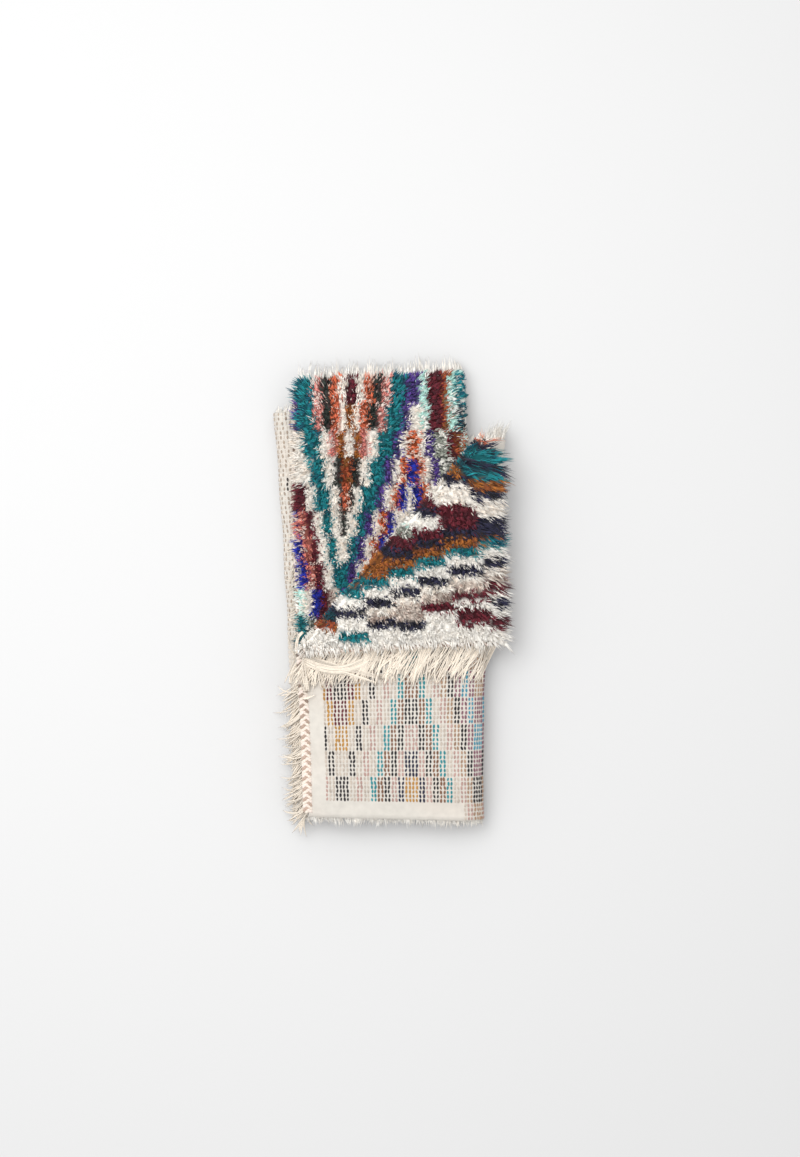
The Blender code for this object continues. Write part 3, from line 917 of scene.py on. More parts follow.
def shell(chart, low, high):
    """Points and faces of a closed layer between two heights above the back."""
    back, front = chart_points(chart, low), chart_points(chart, high)
    count = len(back)
    first, second = chart.rim[:, 0], chart.rim[:, 1]
    sides = np.stack((second, first, first + count, second + count), axis=-1)
    faces = np.concatenate((chart.faces, chart.faces[:, ::-1] + count))
    return np.concatenate((back, front)), [faces, sides]


def dense_pile(section, along, across):
    """Top of the dense pile: pressed where a layer lies on it, lower where strands stand open."""
    high = pile_heights(section, along, across)
    if section == OUTER:
        x, y = spot(OUTER, along, across)
        is_open = smooth(from_crease(x, y), -0.006, 0.0)
    elif section == TOP:
        x, y = spot(TOP, along, across)
        is_open = smooth(from_crease(x, y), -0.01, 0.03)
    elif section == INNER:
        is_open = smooth(along, ROLL_OPEN_FROM_TURN, ROLL_OPEN_TO_TURN)
    else:
        is_open = 0.0
    return np.maximum(high * mix(PRESSED_TOP, BED_TOP, is_open), LEAST_BED)


def warp_number(section, along):
    """Columns of knots from the outer end."""
    before = sum(s.length for s in SECTIONS[:section])
    return (before + along * SECTIONS[section].length) / KNOT_WARP


def make_ground(chart, material):
    points, faces = shell(chart, lambda s, a, c: 0.0, lambda s, a, c: CLOTH_THICK)
    warp = np.zeros(len(chart.section))
    for number in range(len(SECTIONS)):
        here = chart.section == number
        warp[here] = warp_number(number, chart.along[here]) * KNOT_WARP
    weft = chart.across * WIDTH
    tint = mix(GROUND_TINT, 1.0, 0.5 + 0.5 * lumps(0.35 * warp, 0.5 * weft)) * LAID_FLAT
    pinkish = smooth(lumps(0.2 * warp + 0.4, 0.3 * weft), -0.2, 0.8)[:, None]
    dye = mix(IVORY, IVORY * PINKISH_CAST, 0.5 * pinkish) * tint[:, None]
    extra = {"warp": np.tile(warp, 2), "weft": np.tile(weft, 2)}
    dye = np.tile(dye, (2, 1))
    piece = mesh_piece("rug_ground", points, faces, dye, material, "backing", extra)
    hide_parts("rug")
    return piece


def make_bed(chart, material):
    points, faces = shell(chart, lambda s, a, c: BED_FOOT, dense_pile)
    dye = np.tile(CREAM * LAID_FLAT, (len(chart.section), 1))
    top = chart.section == TOP
    x, y = spot(TOP, chart.along[top], chart.across[top])
    dye[top] = FIRST_DYE[inner_pattern(x, y)]
    x, y = chart.flat.T
    turned_back = (chart.section == OUTER) & (from_crease(x, y) > 0)
    dye[turned_back] = FIRST_DYE[corner_pattern(x[turned_back], y[turned_back])]
    is_open = top | turned_back
    # Painted shade: the open dense pile is darkened, as shade falls in the gaps between tufts.
    dye[is_open] *= painted_shade_of(dye[is_open], BED_PAINTED_SHADE, PALE_BED_PAINTED_SHADE)
    return mesh_piece("rug_dense_pile", points, faces, np.tile(dye, (2, 1)), material, "pile")


# Knots on the back

BEAD_HALF_WARP = 0.0031
BEAD_HALF_WEFT = 0.0056
BEAD_HIGH = 0.0019
LOWEST_BEAD = 0.0002
SIDE_PALE = linear((238, 228, 216))
SIDE_GREY = linear((188, 172, 156))
SIDE_BLACK = linear((70, 64, 62))
# Shapes: corners around, then rings as a share of the half sizes and of the height.
BEAD_DOME = ((1.0, -0.4), (0.78, 0.62))
ROUND_BEAD, SMALL_BEAD = (8, BEAD_DOME), (6, BEAD_DOME)
FLAT_BEAD = (4, ((1.0, -0.2),))
KILIM_COLUMNS = 5  # columns without knots at the woven end
COVERED_FROM_Y = -0.105  # the corner hides the outer layer's back above this
ROLL_ROWS = 80  # rows of the outer roll that show
LOWER_SEEN = 0.09  # share of the inner lower layer that shows at the left


def bead_shape(corners, levels):
    """A low dome over an oval, as offsets along the warp, the weft and outwards, with faces."""
    turn = 2 * math.pi * np.arange(corners) / corners
    points = []
    for wide, high in levels:
        ring = np.stack((np.cos(turn) * wide, np.sin(turn) * wide, 0 * turn + high), axis=-1)
        points.append(ring)
    points.append(np.array([[0, 0, 1.0]]))
    quads, tris = [], []
    for level in range(len(levels) - 1):
        for k in range(corners):
            a, b = level * corners + k, level * corners + (k + 1) % corners
            quads.append((a, b, b + corners, a + corners))
    last = (len(levels) - 1) * corners
    for k in range(corners):
        tris.append((last + k, last + (k + 1) % corners, last + corners))
    return np.concatenate(points), np.array(quads).reshape(-1, 4), np.array(tris)


def beads(knots, dye, corners, levels, rng):
    """Beads of yarn on the back of the cloth, a little uneven."""
    shape, quads, tris = bead_shape(corners, levels)
    count = len(knots.foot)
    size = rng.uniform(0.86, 1.12, (count, 1, 1))
    turn = rng.normal(0, 0.16, (count, 1, 1))
    warp, weft, out = knots.warp[:, None], knots.weft[:, None], -knots.up[:, None]
    shift = rng.normal(0, 0.0006, (count, 1, 1))
    along = warp * np.cos(turn) + weft * np.sin(turn)
    aside = weft * np.cos(turn) - warp * np.sin(turn)
    points = (
        knots.foot[:, None]
        + warp * shift
        + along * shape[None, :, :1] * BEAD_HALF_WARP * size
        + aside * shape[None, :, 1:2] * BEAD_HALF_WEFT * size
        + out * shape[None, :, 2:] * BEAD_HIGH * size
    )
    first = (np.arange(count) * len(shape))[:, None, None]
    faces = [(tris[None] + first).reshape(-1, 3)]
    if len(quads):
        faces.append((quads[None] + first).reshape(-1, 4))
    points[..., 2] = np.maximum(points[..., 2], LOWEST_BEAD)
    tone = rng.uniform(0.88, 1.08, (count, 1, 1)) * LAID_FLAT
    dye = np.repeat(dye[:, None] * tone, len(shape), axis=1)
    return points.reshape(-1, 3), faces, dye.reshape(-1, 3)


def roll_beads(section, rng):
    """Beads on a roll or at the parcel's left side, where the back shows paler."""
    knots = knot_grid(section, h=0.0)
    if section == LOWER:
        knots = only(knots, knots.along < LOWER_SEEN)
    if section == ROLL:
        knots = only(knots, knots.row < ROLL_ROWS)
    column = knots.column + round(warp_number(section, 0.0))
    dye = back_pattern(column, knots.row)
    if section != ROLL:
        dye = np.tile(SIDE_PALE, (len(column), 1))
        upper = knots.y > COVERED_FROM_Y
        dye[upper & ((column + knots.row // 2) % 2 == 0)] = SIDE_GREY
        # Three black knots in every 23, in every seventh column.
        dye[upper & (column % 7 == 2) & (knots.row % 23 < 3)] = SIDE_BLACK
    return beads(knots, dye, *SMALL_BEAD, rng)


def make_beads(material):
    rng = np.random.default_rng(11)
    knots = knot_grid(OUTER, h=0.0)
    seen = (knots.column >= KILIM_COLUMNS) & (knots.row >= BACK_MARGIN_ROWS)
    seen &= (from_crease(knots.x, knots.y) < 0) & (knots.y < COVERED_FROM_Y)
    knots = only(knots, seen)
    front = beads(knots, back_pattern(knots.column, knots.row), *ROUND_BEAD, rng)
    rolls = [roll_beads(section, rng) for section in (ROLL, LEFT, LOWER)]
    knots = knot_grid(FLOOR, h=0.0)
    knots = only(knots, knots.row >= BACK_MARGIN_ROWS)
    column = knots.column + round(warp_number(FLOOR, 0.0))
    below = beads(knots, back_pattern(column, knots.row), *FLAT_BEAD, rng)
    return [
        mesh_piece("knots_outer", *joined([front]), material, "pile"),
        mesh_piece("knots_rolls", *joined(rolls), material, "pile"),
        mesh_piece("knots_underside", *joined([below]), material, "pile"),
    ]


# Pile

# A tuft: strands to a knot, how far they splay, their radius, how thick their tips are as a share
# of it, and the shares at which they bend.
Tuft = namedtuple("Tuft", "count splay radius tip bends")
SHORT_TUFT = Tuft(15, 0.0056, 0.0013, 0.4, (0.0, 0.5, 1.0))
PALE_TUFT = Tuft(13, 0.0064, 0.0018, 0.8, (0.0, 0.5, 1.0))
LONG_TUFT = Tuft(9, 0.0072, 0.0013, 0.35, (0.0, 0.34, 0.68, 1.0))
RIM_TUFT = Tuft(7, 0.0060, 0.0012, 0.35, (0.0, 0.4, 0.75, 1.0))
PALE_YARNS = tuple(NUMBER[name] for name in ("white", "cream", "beige", "mint", "stone"))
LONG_FROM = 0.017  # tufts that lie over further than this are long ones
MIXING = 0.0032  # how far strands stray from their block
ASTRAY = 0.0017  # how far knots sit from their places
KNOT_TONE, STRAND_TONE = 0.16, 0.07
STRAND_SECOND = 0.25  # share of the strands whose colour is their own, not their knot's
TUFT_EDGE_PAINTED_SHADE = 0.22  # painted shade between tufts: the outer strands of a coloured tuft are so much darker
ALBEDO_MOST = 0.93
DOME_HIGH, DOME_FALL = 1.04, 0.30  # strands at a tuft's edge are lower than those in its middle
ROOT_SPLAY = 0.3  # how far out a strand starts, as a share of its splay
LEAN_FALL = 0.35  # how much a strand's tip sinks, as a share of how far it lies over

# How far the lean of the pile turns from place to place: radians and their waves. The short ones
# part it into clumps.
LEAN_TURNS = (
    (1.0, Wave(23, 11, 1.1)),
    (0.9, Wave(-17, 31, 0.3)),
    (0.5, Wave(61, 47, 2.0)),
    (2.2, Wave(150, 70, 0.5)),
    (2.0, Wave(-80, 170, 1.9)),
)
FAN_CENTRE = np.array((-0.1125, 0.385))  # the inner pile fans out from here
FAN_LEAN = 0.011
LOOSE_LEAN = 0.0058
TOP_LEAN, LEFT_LEAN, ROLL_LEAN = 0.005, 0.013, 0.014
LOW_LEFT_LEAN = 1.8  # times LEFT_LEAN
LOW_FROM_Y, LOW_TO_Y = -0.05, -0.10  # the pile at the left lies further over from here down
CORNER_LEAN, CORNER_LEAN_ANGLE = 0.011, math.radians(-52)
SELVEDGE_LEAN, SELVEDGE_LEAN_ANGLE = 0.024, math.radians(-14)
BORDER_LEAN = 0.014
LONG_LEAN, LONG_LEAN_ANGLE = 0.028, math.radians(-24)
LONG_FROM_LEVEL, LONG_TO_LEVEL = 25.4, 27.5  # levels of the upper bands, in rings
TOP_TURN = math.radians(42)  # the uppermost long tufts of the corner lie further upwards
TOP_TURN_FROM_Y, TOP_TURN_TO_Y = 0.315, 0.365
CREASE_ROWS = 4
CREASE_HIGH = 0.022
CREASE_UNEVEN = 0.006
BELOW_TIPS = 0.002  # tufts stand so much lower than the tips of the pile
LEAST_CORNER_HIGH = 0.018
ROLL_PLAN_LEAN = np.array((0.006, 0.003))
# Rows of pile beside the selvedges: share of the width, heights above the back, and rise.
RIM_ACROSS, RIM_LEVELS, RIM_HIGH = 0.006, (0.004, 0.012), 0.009
RIM_FURTHER = 0.004  # strands lie over by this much more than the locks of the solid


def capped(dye):
    """Dyes no brighter than real wool, with their cast kept."""
    return dye * np.minimum(1.0, ALBEDO_MOST / dye.max(axis=-1, keepdims=True))


def towards(angle, size):
    """Vectors in plan."""
    return np.stack((np.cos(angle) * size, np.sin(angle) * size), axis=-1)


def clump_lean(knots, rng):
    """A lean that a few knots beside one another share, so that the pile parts into clumps."""
    count = len(knots.x)
    angle = sum(size * ripple(wave, knots.x, knots.y) for size, wave in LEAN_TURNS)
    return towards(angle + rng.normal(0, 0.5, count), LOOSE_LEAN * rng.uniform(0.5, 1.3, count))


def in_cloth(knots, plan):
    """Vectors in plan as vectors in the cloth's plane, of the same length."""
    wanted = np.hstack((plan, np.zeros((len(plan), 1))))
    flat = wanted - knots.up * (wanted * knots.up).sum(-1, keepdims=True)
    return unit(flat) * np.linalg.norm(plan, axis=-1, keepdims=True)


def tuft_paths(knots, lean, high, kind, rng):
    """Paths of the strands of tufts, which way each lies, and how far out in its tuft it stands."""
    total = len(knots.foot)
    n = total * kind.count
    each = partial(np.repeat, repeats=kind.count, axis=0)
    turn = rng.uniform(0, 2 * math.pi, (n, 1))
    out = np.sqrt(rng.uniform(0.02, 1.0, (n, 1)))
    wide = kind.splay * each(rng.uniform(0.75, 1.25, (total, 1)))
    splay = (each(knots.warp) * np.cos(turn) + each(knots.weft) * np.sin(turn)) * out * wide
    astray = rng.normal(0, ASTRAY, (2, total, 1))
    foot = knots.foot + knots.warp * astray[0] + knots.weft * astray[1]
    over = each(lean) * rng.uniform(0.5, 1.15, (n, 1))
    size = np.linalg.norm(over, axis=-1, keepdims=True)
    dome = DOME_HIGH - DOME_FALL * out**2
    rise = each(high * rng.uniform(0.76, 1.10, total))[:, None] * dome
    rise = rise * rng.uniform(0.9, 1.05, (n, 1))
    bend = splay[:, [1, 0, 2]] * rng.normal(0, 0.5, (n, 1))
    root = each(foot) + splay * ROOT_SPLAY
    up = each(knots.up)
    steps = [
        root
        + up * (rise * t * (2 - t) - LEAN_FALL * size * t**3)
        + over * t**1.5
        + splay * t**0.8
        + bend * math.sin(3 * t)
        for t in kind.bends
    ]
    paths = np.stack(steps, axis=1)
    paths[..., 2] = np.clip(paths[..., 2], FLOOR_CLEAR, HIGHEST)
    return paths, over + splay, out


def tuft_dyes(knots, kind, out, pattern, rng):
    """Dyes of the strands of tufts: each knot's yarn, a little mixed with its neighbours'."""
    total, n = len(knots.foot), len(out)
    each = partial(np.repeat, repeats=kind.count, axis=0)
    stray = rng.normal(0, MIXING, (n, 2))
    yarn = pattern(each(knots.x) + stray[:, 0], each(knots.y) + stray[:, 1])
    own = rng.random(n) < STRAND_SECOND
    second = np.where(own, rng.random(n), each(rng.random(total))) < SECOND_SHARE[yarn]
    dye = np.where(second[:, None], SECOND_DYE[yarn], FIRST_DYE[yarn])
    # Painted shade: the outer strands of a coloured tuft are darkened, as shade falls between tufts.
    dye = dye * mix(1.0, painted_shade_of(dye, 1 - TUFT_EDGE_PAINTED_SHADE, 1.0), out**3)
    dye = dye * each(rng.uniform(1 - KNOT_TONE, 1 + KNOT_TONE, (total, 1)))
    return capped(dye * rng.uniform(1 - STRAND_TONE, 1 + STRAND_TONE, (n, 1)))


def tufts(knots, lean, high, kind, pattern, rng):
    """Tufts of strands that rise from knots, splay and lie over by lean: a part for tube_piece."""
    paths, lies, out = tuft_paths(knots, lean, high, kind, rng)
    taper = np.interp(kind.bends, (0.0, 0.5, 1.0), (0.9, 1.0, kind.tip))
    radii = kind.radius * rng.uniform(0.75, 1.25, (len(out), 1)) * taper[None, :]
    side = np.cross(np.repeat(knots.up, kind.count, axis=0), unit(lies))
    return paths, radii, side, STRAND_CORNERS, tuft_dyes(knots, kind, out, pattern, rng)


def tuft_parts(knots, lean, high, pattern, rng):
    """Short tufts, and long ones where the pile lies far over."""
    far = np.linalg.norm(lean, axis=-1) > LONG_FROM
    pale = np.isin(pattern(knots.x, knots.y), PALE_YARNS)
    kinds = ((~far & ~pale, SHORT_TUFT), (~far & pale, PALE_TUFT), (far, LONG_TUFT))
    return [
        tufts(only(knots, mask), lean[mask], high[mask], kind, pattern, rng)
        for mask, kind in kinds
        if mask.any()
    ]


def pile_pieces(knots, lean, high, pattern, parts, material, rng):
    """One piece of pile for each part, given by its name and a mask over the knots."""
    pieces = []
    for name, part in parts:
        made = tuft_parts(only(knots, part), lean[part], high[part], pattern, rng)
        pieces.append(tube_piece(name, made, material, "pile"))
    return pieces


def inner_lean(knots, rng):
    """How far the inner layer's pile lies over, in plan."""
    place = np.stack((knots.x, knots.y), axis=-1) - FAN_CENTRE
    far = np.linalg.norm(place, axis=-1)
    fan = FAN_LEAN * smooth(far, 0.02, 0.14) * smooth(knots.y, 0.12, 0.30)
    lean = unit(place) * fan[:, None] + clump_lean(knots, rng)
    lean[:, 1] += TOP_LEAN * smooth(knots.across, 0.045, 0.0)
    low = mix(1.0, LOW_LEFT_LEAN, smooth(knots.y, LOW_FROM_Y, LOW_TO_Y))
    lean[:, 0] -= LEFT_LEAN * low * smooth(knots.along, 0.90, 0.99)
    lean[:, 0] += ROLL_LEAN * smooth(knots.along, 0.06, 0.0)
    return lean


def make_inner_pile(material):
    rng = np.random.default_rng(21)
    knots = knot_grid(TOP)
    knots = only(knots, from_crease(knots.x, knots.y) > 0.0)
    lean = in_cloth(knots, inner_lean(knots, rng))
    high = pile_heights(TOP, knots.along, knots.across) - BELOW_TIPS
    upper = knots.y > np.median(knots.y)
    parts = (("pile_inner_upper", upper), ("pile_inner_lower", ~upper))
    return pile_pieces(knots, lean, high, inner_pattern, parts, material, rng)


def make_roll_pile(material):
    """Pile of the inner roll, which stands out at the right beside the turned-back corner."""
    rng = np.random.default_rng(25)
    knots = knot_grid(INNER)
    knots = only(knots, (knots.along > 0.25) & (from_crease(knots.x, knots.y) > -0.02))
    plan = clump_lean(knots, rng) + ROLL_PLAN_LEAN
    plan[:, 1] += TOP_LEAN * smooth(knots.across, 0.03, 0.0)
    lean = in_cloth(knots, plan)
    high = pile_heights(INNER, knots.along, knots.across) - BELOW_TIPS
    parts = (("pile_inner_roll", high > 0),)
    return pile_pieces(knots, lean, high, inner_pattern, parts, material, rng)


def corner_lean(knots, rng):
    """How far the turned-back corner's pile lies over, in plan."""
    _, _, upper = corner_levels(knots.x, knots.y)
    across = (OUTER_END.y_top - knots.y) / (OUTER_END.y_top - OUTER_END.y_low)
    at_selvedge = smooth(across, 0.05, 0.0)
    is_long = smooth(upper, LONG_FROM_LEVEL, LONG_TO_LEVEL)
    count = len(knots.x)
    loose = clump_lean(knots, rng)
    main = towards(CORNER_LEAN_ANGLE + rng.normal(0, 0.3, count), CORNER_LEAN * (1 - is_long))
    up = TOP_TURN * smooth(knots.foot[:, 1], TOP_TURN_FROM_Y, TOP_TURN_TO_Y)
    far = towards(LONG_LEAN_ANGLE + up + rng.normal(0, 0.5, count), LONG_LEAN * is_long)
    edge = towards(SELVEDGE_LEAN_ANGLE + rng.normal(0, 0.2, count), SELVEDGE_LEAN * at_selvedge)
    lean = loose + main + far + edge
    lean[:, 1] -= BORDER_LEAN * smooth(from_end(knots.x, knots.y), 0.04, 0.0)
    return lean


def make_corner_pile(material):
    rng = np.random.default_rng(22)
    knots = knot_grid(OUTER)
    x, y = knots.x, knots.y
    knots = only(knots, (from_crease(x, y) > 0.0) & (from_end(x, y) > 0.002))
    lean = in_cloth(knots, corner_lean(knots, rng))
    high = pile_heights(OUTER, knots.along, knots.across)
    high = np.maximum(high, LEAST_CORNER_HIGH) - BELOW_TIPS
    left = knots.foot[:, 0] <= np.median(knots.foot[:, 0])
    parts = (("pile_corner_left", left), ("pile_corner_right", ~left))
    return pile_pieces(knots, lean, high, corner_pattern, parts, material, rng)


def make_crease_pile(material):
    """Pile that fans out where the cloth turns over at the crease."""
    rng = np.random.default_rng(23)
    length = np.linalg.norm(CREASE_RIGHT - CREASE_LEFT)
    count = round(length / KNOT_WEFT)
    share, past = np.meshgrid(
        (np.arange(count) + 0.5) / count, np.linspace(0.0002, CREASE_ARC, CREASE_ROWS)
    )
    share, past = share.ravel(), past.ravel()
    x = CREASE_LEFT[0] + CREASE_ALONG[0] * share * length + CREASE_AWAY[0] * past
    y = CREASE_LEFT[1] + CREASE_ALONG[1] * share * length + CREASE_AWAY[1] * past
    foot = outer_points(x, y, CLOTH_THICK)
    up = unit(outer_points(x, y, CLOTH_THICK + NEAR) - foot)
    along = unit(np.array((*CREASE_ALONG, 0.0)))[None].repeat(len(x), axis=0)
    zero = np.zeros(len(x))
    knots = Knots(zero, zero, zero, zero, x, y, foot, up, along, np.cross(up, along))
    lean = along * rng.normal(0, CREASE_UNEVEN, (len(x), 1))
    parts = [tufts(knots, lean, np.full(len(x), CREASE_HIGH), LONG_TUFT, corner_pattern, rng)]
    return [tube_piece("pile_crease", parts, material, "pile")]


def plain_cream(x, y):
    return np.full(len(x), NUMBER["white"])


def rim_knots(section, across, level):
    """Knots in a row beside a selvedge."""
    count = round(SECTIONS[section].length / KNOT_WARP)
    along = (np.arange(count) + 0.5) / count
    zero = np.zeros(count)
    return knots_of(section, along, across + zero, zero, zero, level)


def rim_tufts(section, across, reach, level, rng):
    """One row of pile that reaches out past a selvedge, downwards in y if reach is above zero."""
    knots = rim_knots(section, across, level)
    count = len(knots.x)
    lean = knots.weft * reach * rng.uniform(0.5, 1.15, (count, 1))
    lean += knots.warp * rng.normal(0, 0.004, (count, 1))
    coloured = section == OUTER and reach < 0
    pattern, kind = (corner_pattern, LONG_TUFT) if coloured else (plain_cream, RIM_TUFT)
    return tufts(knots, lean, np.full(count, RIM_HIGH), kind, pattern, rng)


def make_rims(material):
    """Pile that reaches out past the two selvedges of every layer."""
    rng = np.random.default_rng(24)
    parts = []
    for section, facts in enumerate(SECTIONS):
        upper = (RIM_ACROSS, -(facts.lock_top + RIM_FURTHER))
        lower = (1 - RIM_ACROSS, facts.lock_low + RIM_FURTHER)
        for across, reach in (upper, lower):
            parts += [rim_tufts(section, across, reach, level, rng) for level in RIM_LEVELS]
    return [tube_piece("pile_selvedges", parts, material, "pile")]


# Fringes

YARN_R = 0.0015
FRINGE_STEPS = 8
STRAND_FALL = 0.9  # steepest fall, as a share of the way along
YARN_TONE = 0.16
YARN_LAYERS = 2.6  # strands lie up to so many radii above what carries them
CLUMP_STRANDS = 6
CLUMP_SWINGS = ((7, 2.4, 0), (5, 0.73, 1))  # degrees, and radians from one clump to the next
STRAND_ASTRAY = 6  # degrees
FRINGE_DYE = linear((228, 217, 202))
CHAIN_DYES = tuple(linear(rgb) for rgb in ((184, 160, 144), (232, 217, 207), (230, 218, 205)))

# Each strip lies along a share of the cloth's width. Its plaited edge is so wide, as a half.
Fringe = namedtuple(
    "Fringe",
    "name section on_corner first last strands radius lean_deg length_first length_last curl plait",
)
FRINGES = (
    Fringe("fringe_on_corner", OUTER, True, 0.015, 0.515, 310, 0.0015, -38, 0.112, 0.104, 0.035, 0.0052),
    Fringe("fringe_at_side", OUTER, False, 0.600, 0.99, 230, 0.0015, 55, 0.088, 0.078, 0.07, 0.0092),
    Fringe("fringe_inside", TOP, False, 0.02, 0.98, 150, 0.0011, 28, 0.018, 0.034, 0.10, 0.0052),
)


def fall_on_roll(past, radius):
    past = np.clip(past, 0.0, radius)
    return radius - np.sqrt(radius**2 - past**2)


def over_outer(x, y):
    """Height of the outer layer's back and its roll."""
    fall = fall_on_roll(x - line_x(OUTER_ROLL, y), OUTER_ROLL_R)
    return (OUTER_Z - fall) * margin_scale(y)


def over_inner(x, y, z):
    """Height of what lies under a strand at the left side of the parcel."""
    on_top = (x > line_x(INNER_END, y) - 0.004) & (z > INNER_TOP_Z + THICK - 0.004)
    past = line_x(LEFT_ROLL, y) - x
    low = (INNER_LOW_Z - fall_on_roll(past, LEFT_ROLL_R)) * margin_scale(y)
    low = np.where(past > LEFT_ROLL_R, 0.0, low)
    return np.where(on_top, (INNER_TOP_Z + THICK) * margin_scale(y), low)


def end_points(section, across, out, h):
    """Points past one of the cloth's two ends."""
    if section == OUTER:
        x, y = line_at(OUTER_END, across)
        return outer_points(x - out, y, h)
    (rx, ry), (ex, ey) = line_at(INNER_ROLL, across), line_at(INNER_END, across)
    return inner_points(TOP, 1 + out / np.hypot(rx - ex, ry - ey), across, h)


def turned(vectors, angle):
    """Level vectors turned about the vertical, each by its own angle."""
    cos, sin = np.cos(angle), np.sin(angle)
    x, y = vectors[:, 0], vectors[:, 1]
    return np.stack((x * cos - y * sin, x * sin + y * cos, 0 * x), axis=-1)


def fringe_paths(row, rng):
    """Strands that leave the woven end in clumps and fall onto what lies below."""
    count = row.strands
    share = (np.arange(count) + rng.uniform(0.1, 0.9, count)) / count
    across = mix(row.first, row.last, share)
    point = end_points(row.section, across, 0.002, rng.uniform(0.001, 0.004, count))
    ahead = end_points(row.section, across, 0.006, 0.002)
    ahead = ahead - end_points(row.section, across, 0, 0.002)
    ahead[:, 2] = 0
    clump = np.round(share * count / CLUMP_STRANDS)
    swing = sum(degrees * np.sin(clump * pace + start) for degrees, pace, start in CLUMP_SWINGS)
    astray = rng.normal(0, STRAND_ASTRAY, count)
    ahead = turned(unit(ahead), np.radians(row.lean_deg + swing + astray))
    curl = rng.normal(0, row.curl, count)
    length = mix(row.length_first, row.length_last, smooth(share, 0.25, 0.5))
    step = length * rng.uniform(0.74, 1.08, count) / FRINGE_STEPS
    layer = rng.uniform(0.2, YARN_LAYERS, count) * YARN_R
    paths = [point.copy()]
    for _ in range(FRINGE_STEPS):
        ahead = turned(ahead, curl)
        point = point + ahead * step[:, None]
        if row.on_corner:
            lowest = over_outer(point[:, 0], point[:, 1])
        else:
            lowest = over_inner(point[:, 0], point[:, 1], point[:, 2])
        point[:, 2] = np.maximum(lowest + YARN_R + layer, point[:, 2] - STRAND_FALL * step)
        paths.append(point.copy())
    return np.stack(paths, axis=1)


def yarns(paths, radius, dye, rng):
    """Plain yarns along paths: a part for tube_piece."""
    count, steps = paths.shape[:2]
    side = unit(np.cross((0.0, 0.0, 1.0), paths[:, -1] - paths[:, 0]))
    taper = np.ones(steps)
    taper[-2:] = 0.8
    radii = radius * rng.uniform(0.85, 1.15, (count, 1)) * taper[None, :]
    colour = dye * rng.uniform(1 - YARN_TONE, 1 + YARN_TONE, (count, 1))
    return paths, radii, side, YARN_CORNERS, capped(colour)


CHAIN_DEEP = 0.0016
CHAIN_CYCLE = 0.027
CHAIN_STEP = 0.003
CHAIN_LEAD = 0.09  # the side's plait starts so much above its fringe, as a share of the width
END_LENGTH = 0.93  # of a woven end
CHAIN_YARN = 0.5  # radius of its yarns, as a share of its half width


def chain_parts(row):
    """A plaited edge of three yarns along a woven end."""
    first = row.first - (CHAIN_LEAD if row.section == OUTER and not row.on_corner else 0.0)
    first = max(0.01, first)
    length = END_LENGTH * (row.last - first)
    share = np.linspace(0, 1, round(length / CHAIN_STEP))
    across = mix(first, row.last, share)
    middle = end_points(row.section, across, 0.002, 0.002)
    outward = unit(end_points(row.section, across, 0.004, 0.002) - middle)
    up = unit(end_points(row.section, across, 0.002, 0.0) - middle)
    parts = []
    for number, dye in enumerate(CHAIN_DYES):
        turn = 2 * math.pi * (share * length / CHAIN_CYCLE + number / len(CHAIN_DYES))
        path = middle + outward * (np.sin(turn) * row.plait)[:, None]
        path = path + up * (np.sin(2 * turn) * CHAIN_DEEP)[:, None]
        side = unit(outward[len(share) // 2])[None]
        radii = np.full((1, len(share)), CHAIN_YARN * row.plait)
        parts.append((path[None], radii, side, CHAIN_CORNERS, dye[None]))
    return parts


# Loose bundles where the crease meets the woven end: a start, a middle and an end in plan, how wide
# they are there, how many strands, and how high they lie above what carries them.
Bundle = namedtuple("Bundle", "start middle end wide_start wide_end strands lift")
BUNDLES = (
    Bundle((-0.230, -0.0975), (-0.247, -0.130), (-0.2375, -0.175), 0.003, 0.005, 6, 0.018),
    Bundle((-0.2375, -0.1600), (-0.145, -0.192), (-0.0500, -0.1550), 0.012, 0.024, 22, 0.006),
    Bundle((-0.2300, -0.1600), (-0.150, -0.186), (-0.0350, -0.2200), 0.012, 0.022, 12, 0.004),
    Bundle((-0.2100, -0.1520), (-0.190, -0.200), (-0.1775, -0.2425), 0.004, 0.010, 3, 0.006),
    Bundle((-0.2450, -0.2500), (-0.225, -0.262), (-0.1975, -0.2525), 0.003, 0.004, 2, 0.006),
    Bundle((-0.2330, -0.1550), (-0.2290, -0.205), (-0.2260, -0.2500), 0.012, 0.022, 12, 0.006),
    Bundle((-0.2400, -0.1600), (-0.2560, -0.190), (-0.2680, -0.2300), 0.008, 0.026, 9, 0.004),
    Bundle((-0.2675, -0.1150), (-0.262, -0.138), (-0.2500, -0.1600), 0.002, 0.003, 2, 0.008),
)
BUNDLE_STEPS = 12
BUNDLE_R = 0.0015
WANDER = 0.0015  # how far a strand strays from its line


def bundle_paths(row, rng):
    """Strands of one loose bundle, each on its own curve through the bundle's three places."""
    t = np.linspace(0, 1, BUNDLE_STEPS + 1)[None, :, None]
    start, middle, end = (np.array(place) for place in (row.start, row.middle, row.end))
    bend = 2 * middle - (start + end) / 2
    spine = start * (1 - t) ** 2 + 2 * bend * t * (1 - t) + end * t**2
    ahead = unit(np.gradient(spine, axis=1))
    aside = np.stack((-ahead[..., 1], ahead[..., 0]), axis=-1)
    place = rng.uniform(-0.5, 0.5, (row.strands, 1, 1))
    wide = mix(row.wide_start, row.wide_end, t)
    wander = WANDER * np.sin(7 * t + rng.uniform(0, 6, (row.strands, 1, 1)))
    plan = spine + aside * (place * wide + wander)
    x, y = plan[..., 0], plan[..., 1]
    on_outer = smooth(from_end(x, y), -0.012, 0.004)
    under = mix(INNER_TOP_Z + THICK, over_outer(x, y), on_outer)
    arch = row.lift * np.sin(math.pi * np.clip(t[..., 0] * 1.1, 0, 1))
    z = under + arch + YARN_R * rng.uniform(1, 3, (row.strands, 1))
    return np.concatenate((plan, z[..., None]), axis=-1)


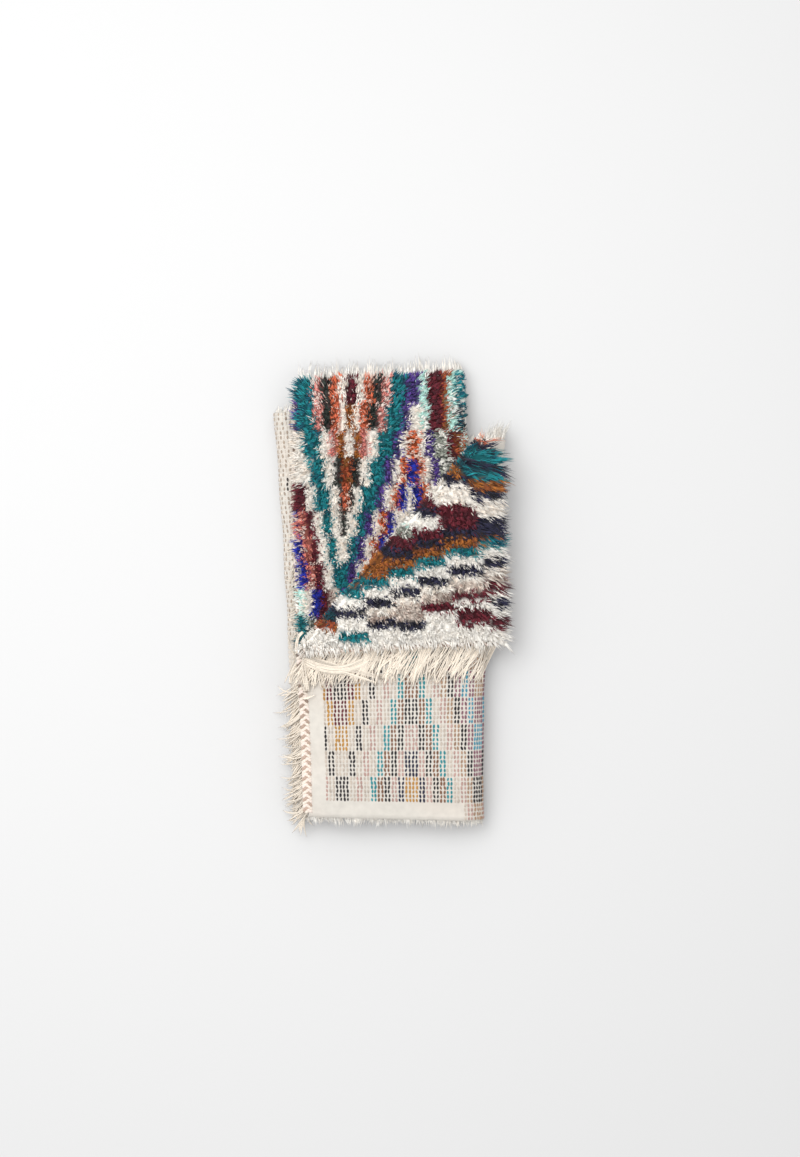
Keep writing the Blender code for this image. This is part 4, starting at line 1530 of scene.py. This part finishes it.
def make_fringes(material):
    rng = np.random.default_rng(31)
    pieces = []
    for row in FRINGES:
        parts = [yarns(fringe_paths(row, rng), row.radius, FRINGE_DYE[None], rng)]
        parts += chain_parts(row)
        if row.on_corner:
            parts += [yarns(bundle_paths(b, rng), BUNDLE_R, FRINGE_DYE[None], rng) for b in BUNDLES]
        piece = tube_piece(row.name + "_yarn", parts, material, "fringe")
        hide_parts(row.name)
        pieces.append(piece)
    return pieces


# Stage, light and camera

CAMERA_HEIGHT = 5.0  # above the top of the parcel's back
SEEN_HEIGHT = 2.8925  # metres from the top to the bottom of the picture at that level
CAMERA_X, CAMERA_Y = 0.0105, 0.03445
SENSOR = 36.0
FLOOR_HALF = 8.0
FLOOR_TONE = 0.62
SKY_STRENGTH = 0.94
SOFTBOX_PLACE = (-1.3, 1.1, 4.1)
SOFTBOX_SIZE = 3.4
SOFTBOX_POWER = 144


def make_stage():
    mesh = bpy.data.meshes.new("floor")
    corners = [(x * FLOOR_HALF, y * FLOOR_HALF, 0) for x, y in ((-1, -1), (1, -1), (1, 1), (-1, 1))]
    mesh.from_pydata(corners, [], [(0, 1, 2, 3)])
    grey = {"Base Color": (FLOOR_TONE, FLOOR_TONE, FLOOR_TONE, 1), "Specular IOR Level": 0.1}
    material, _, _ = new_material("floor", 0.9, **grey)
    mesh.materials.append(material)
    placed("floor", mesh)


def make_light():
    world = bpy.data.worlds.new("studio")
    world.use_nodes = True
    tree = world.node_tree
    white = {"Color": (1.0, 1.0, 1.0, 1), "Strength": SKY_STRENGTH}
    set_inputs(tree, tree.nodes["Background"], white)
    bpy.context.scene.world = world
    data = bpy.data.lights.new("softbox", "AREA")
    data.shape = "SQUARE"
    data.size = SOFTBOX_SIZE
    data.energy = SOFTBOX_POWER
    light = placed("softbox", data)
    light.location = SOFTBOX_PLACE
    light.rotation_mode = "QUATERNION"
    light.rotation_quaternion = (-light.location).to_track_quat("-Z", "Y")


def make_camera():
    data = bpy.data.cameras.new("camera")
    data.sensor_width = SENSOR
    data.lens = SENSOR / 2 * CAMERA_HEIGHT / (SEEN_HEIGHT / 2)
    data.clip_end = 50
    camera = placed("camera", data)
    camera.location = (CAMERA_X, CAMERA_Y, CAMERA_HEIGHT + OUTER_Z)
    bpy.context.scene.camera = camera


def main():
    bpy.context.scene.view_settings.view_transform = "Standard"
    make_camera()
    make_light()
    make_stage()
    wool, cord, weave = wool_material(), cord_material(), ground_material()
    chart = chart_mesh()
    ground = make_ground(chart, weave)
    on_it = [make_bed(chart, wool)]
    on_it += make_beads(wool)
    for make_pile in (make_inner_pile, make_roll_pile, make_corner_pile, make_crease_pile, make_rims):
        on_it += make_pile(wool)
    on_it += make_fringes(cord)


main()
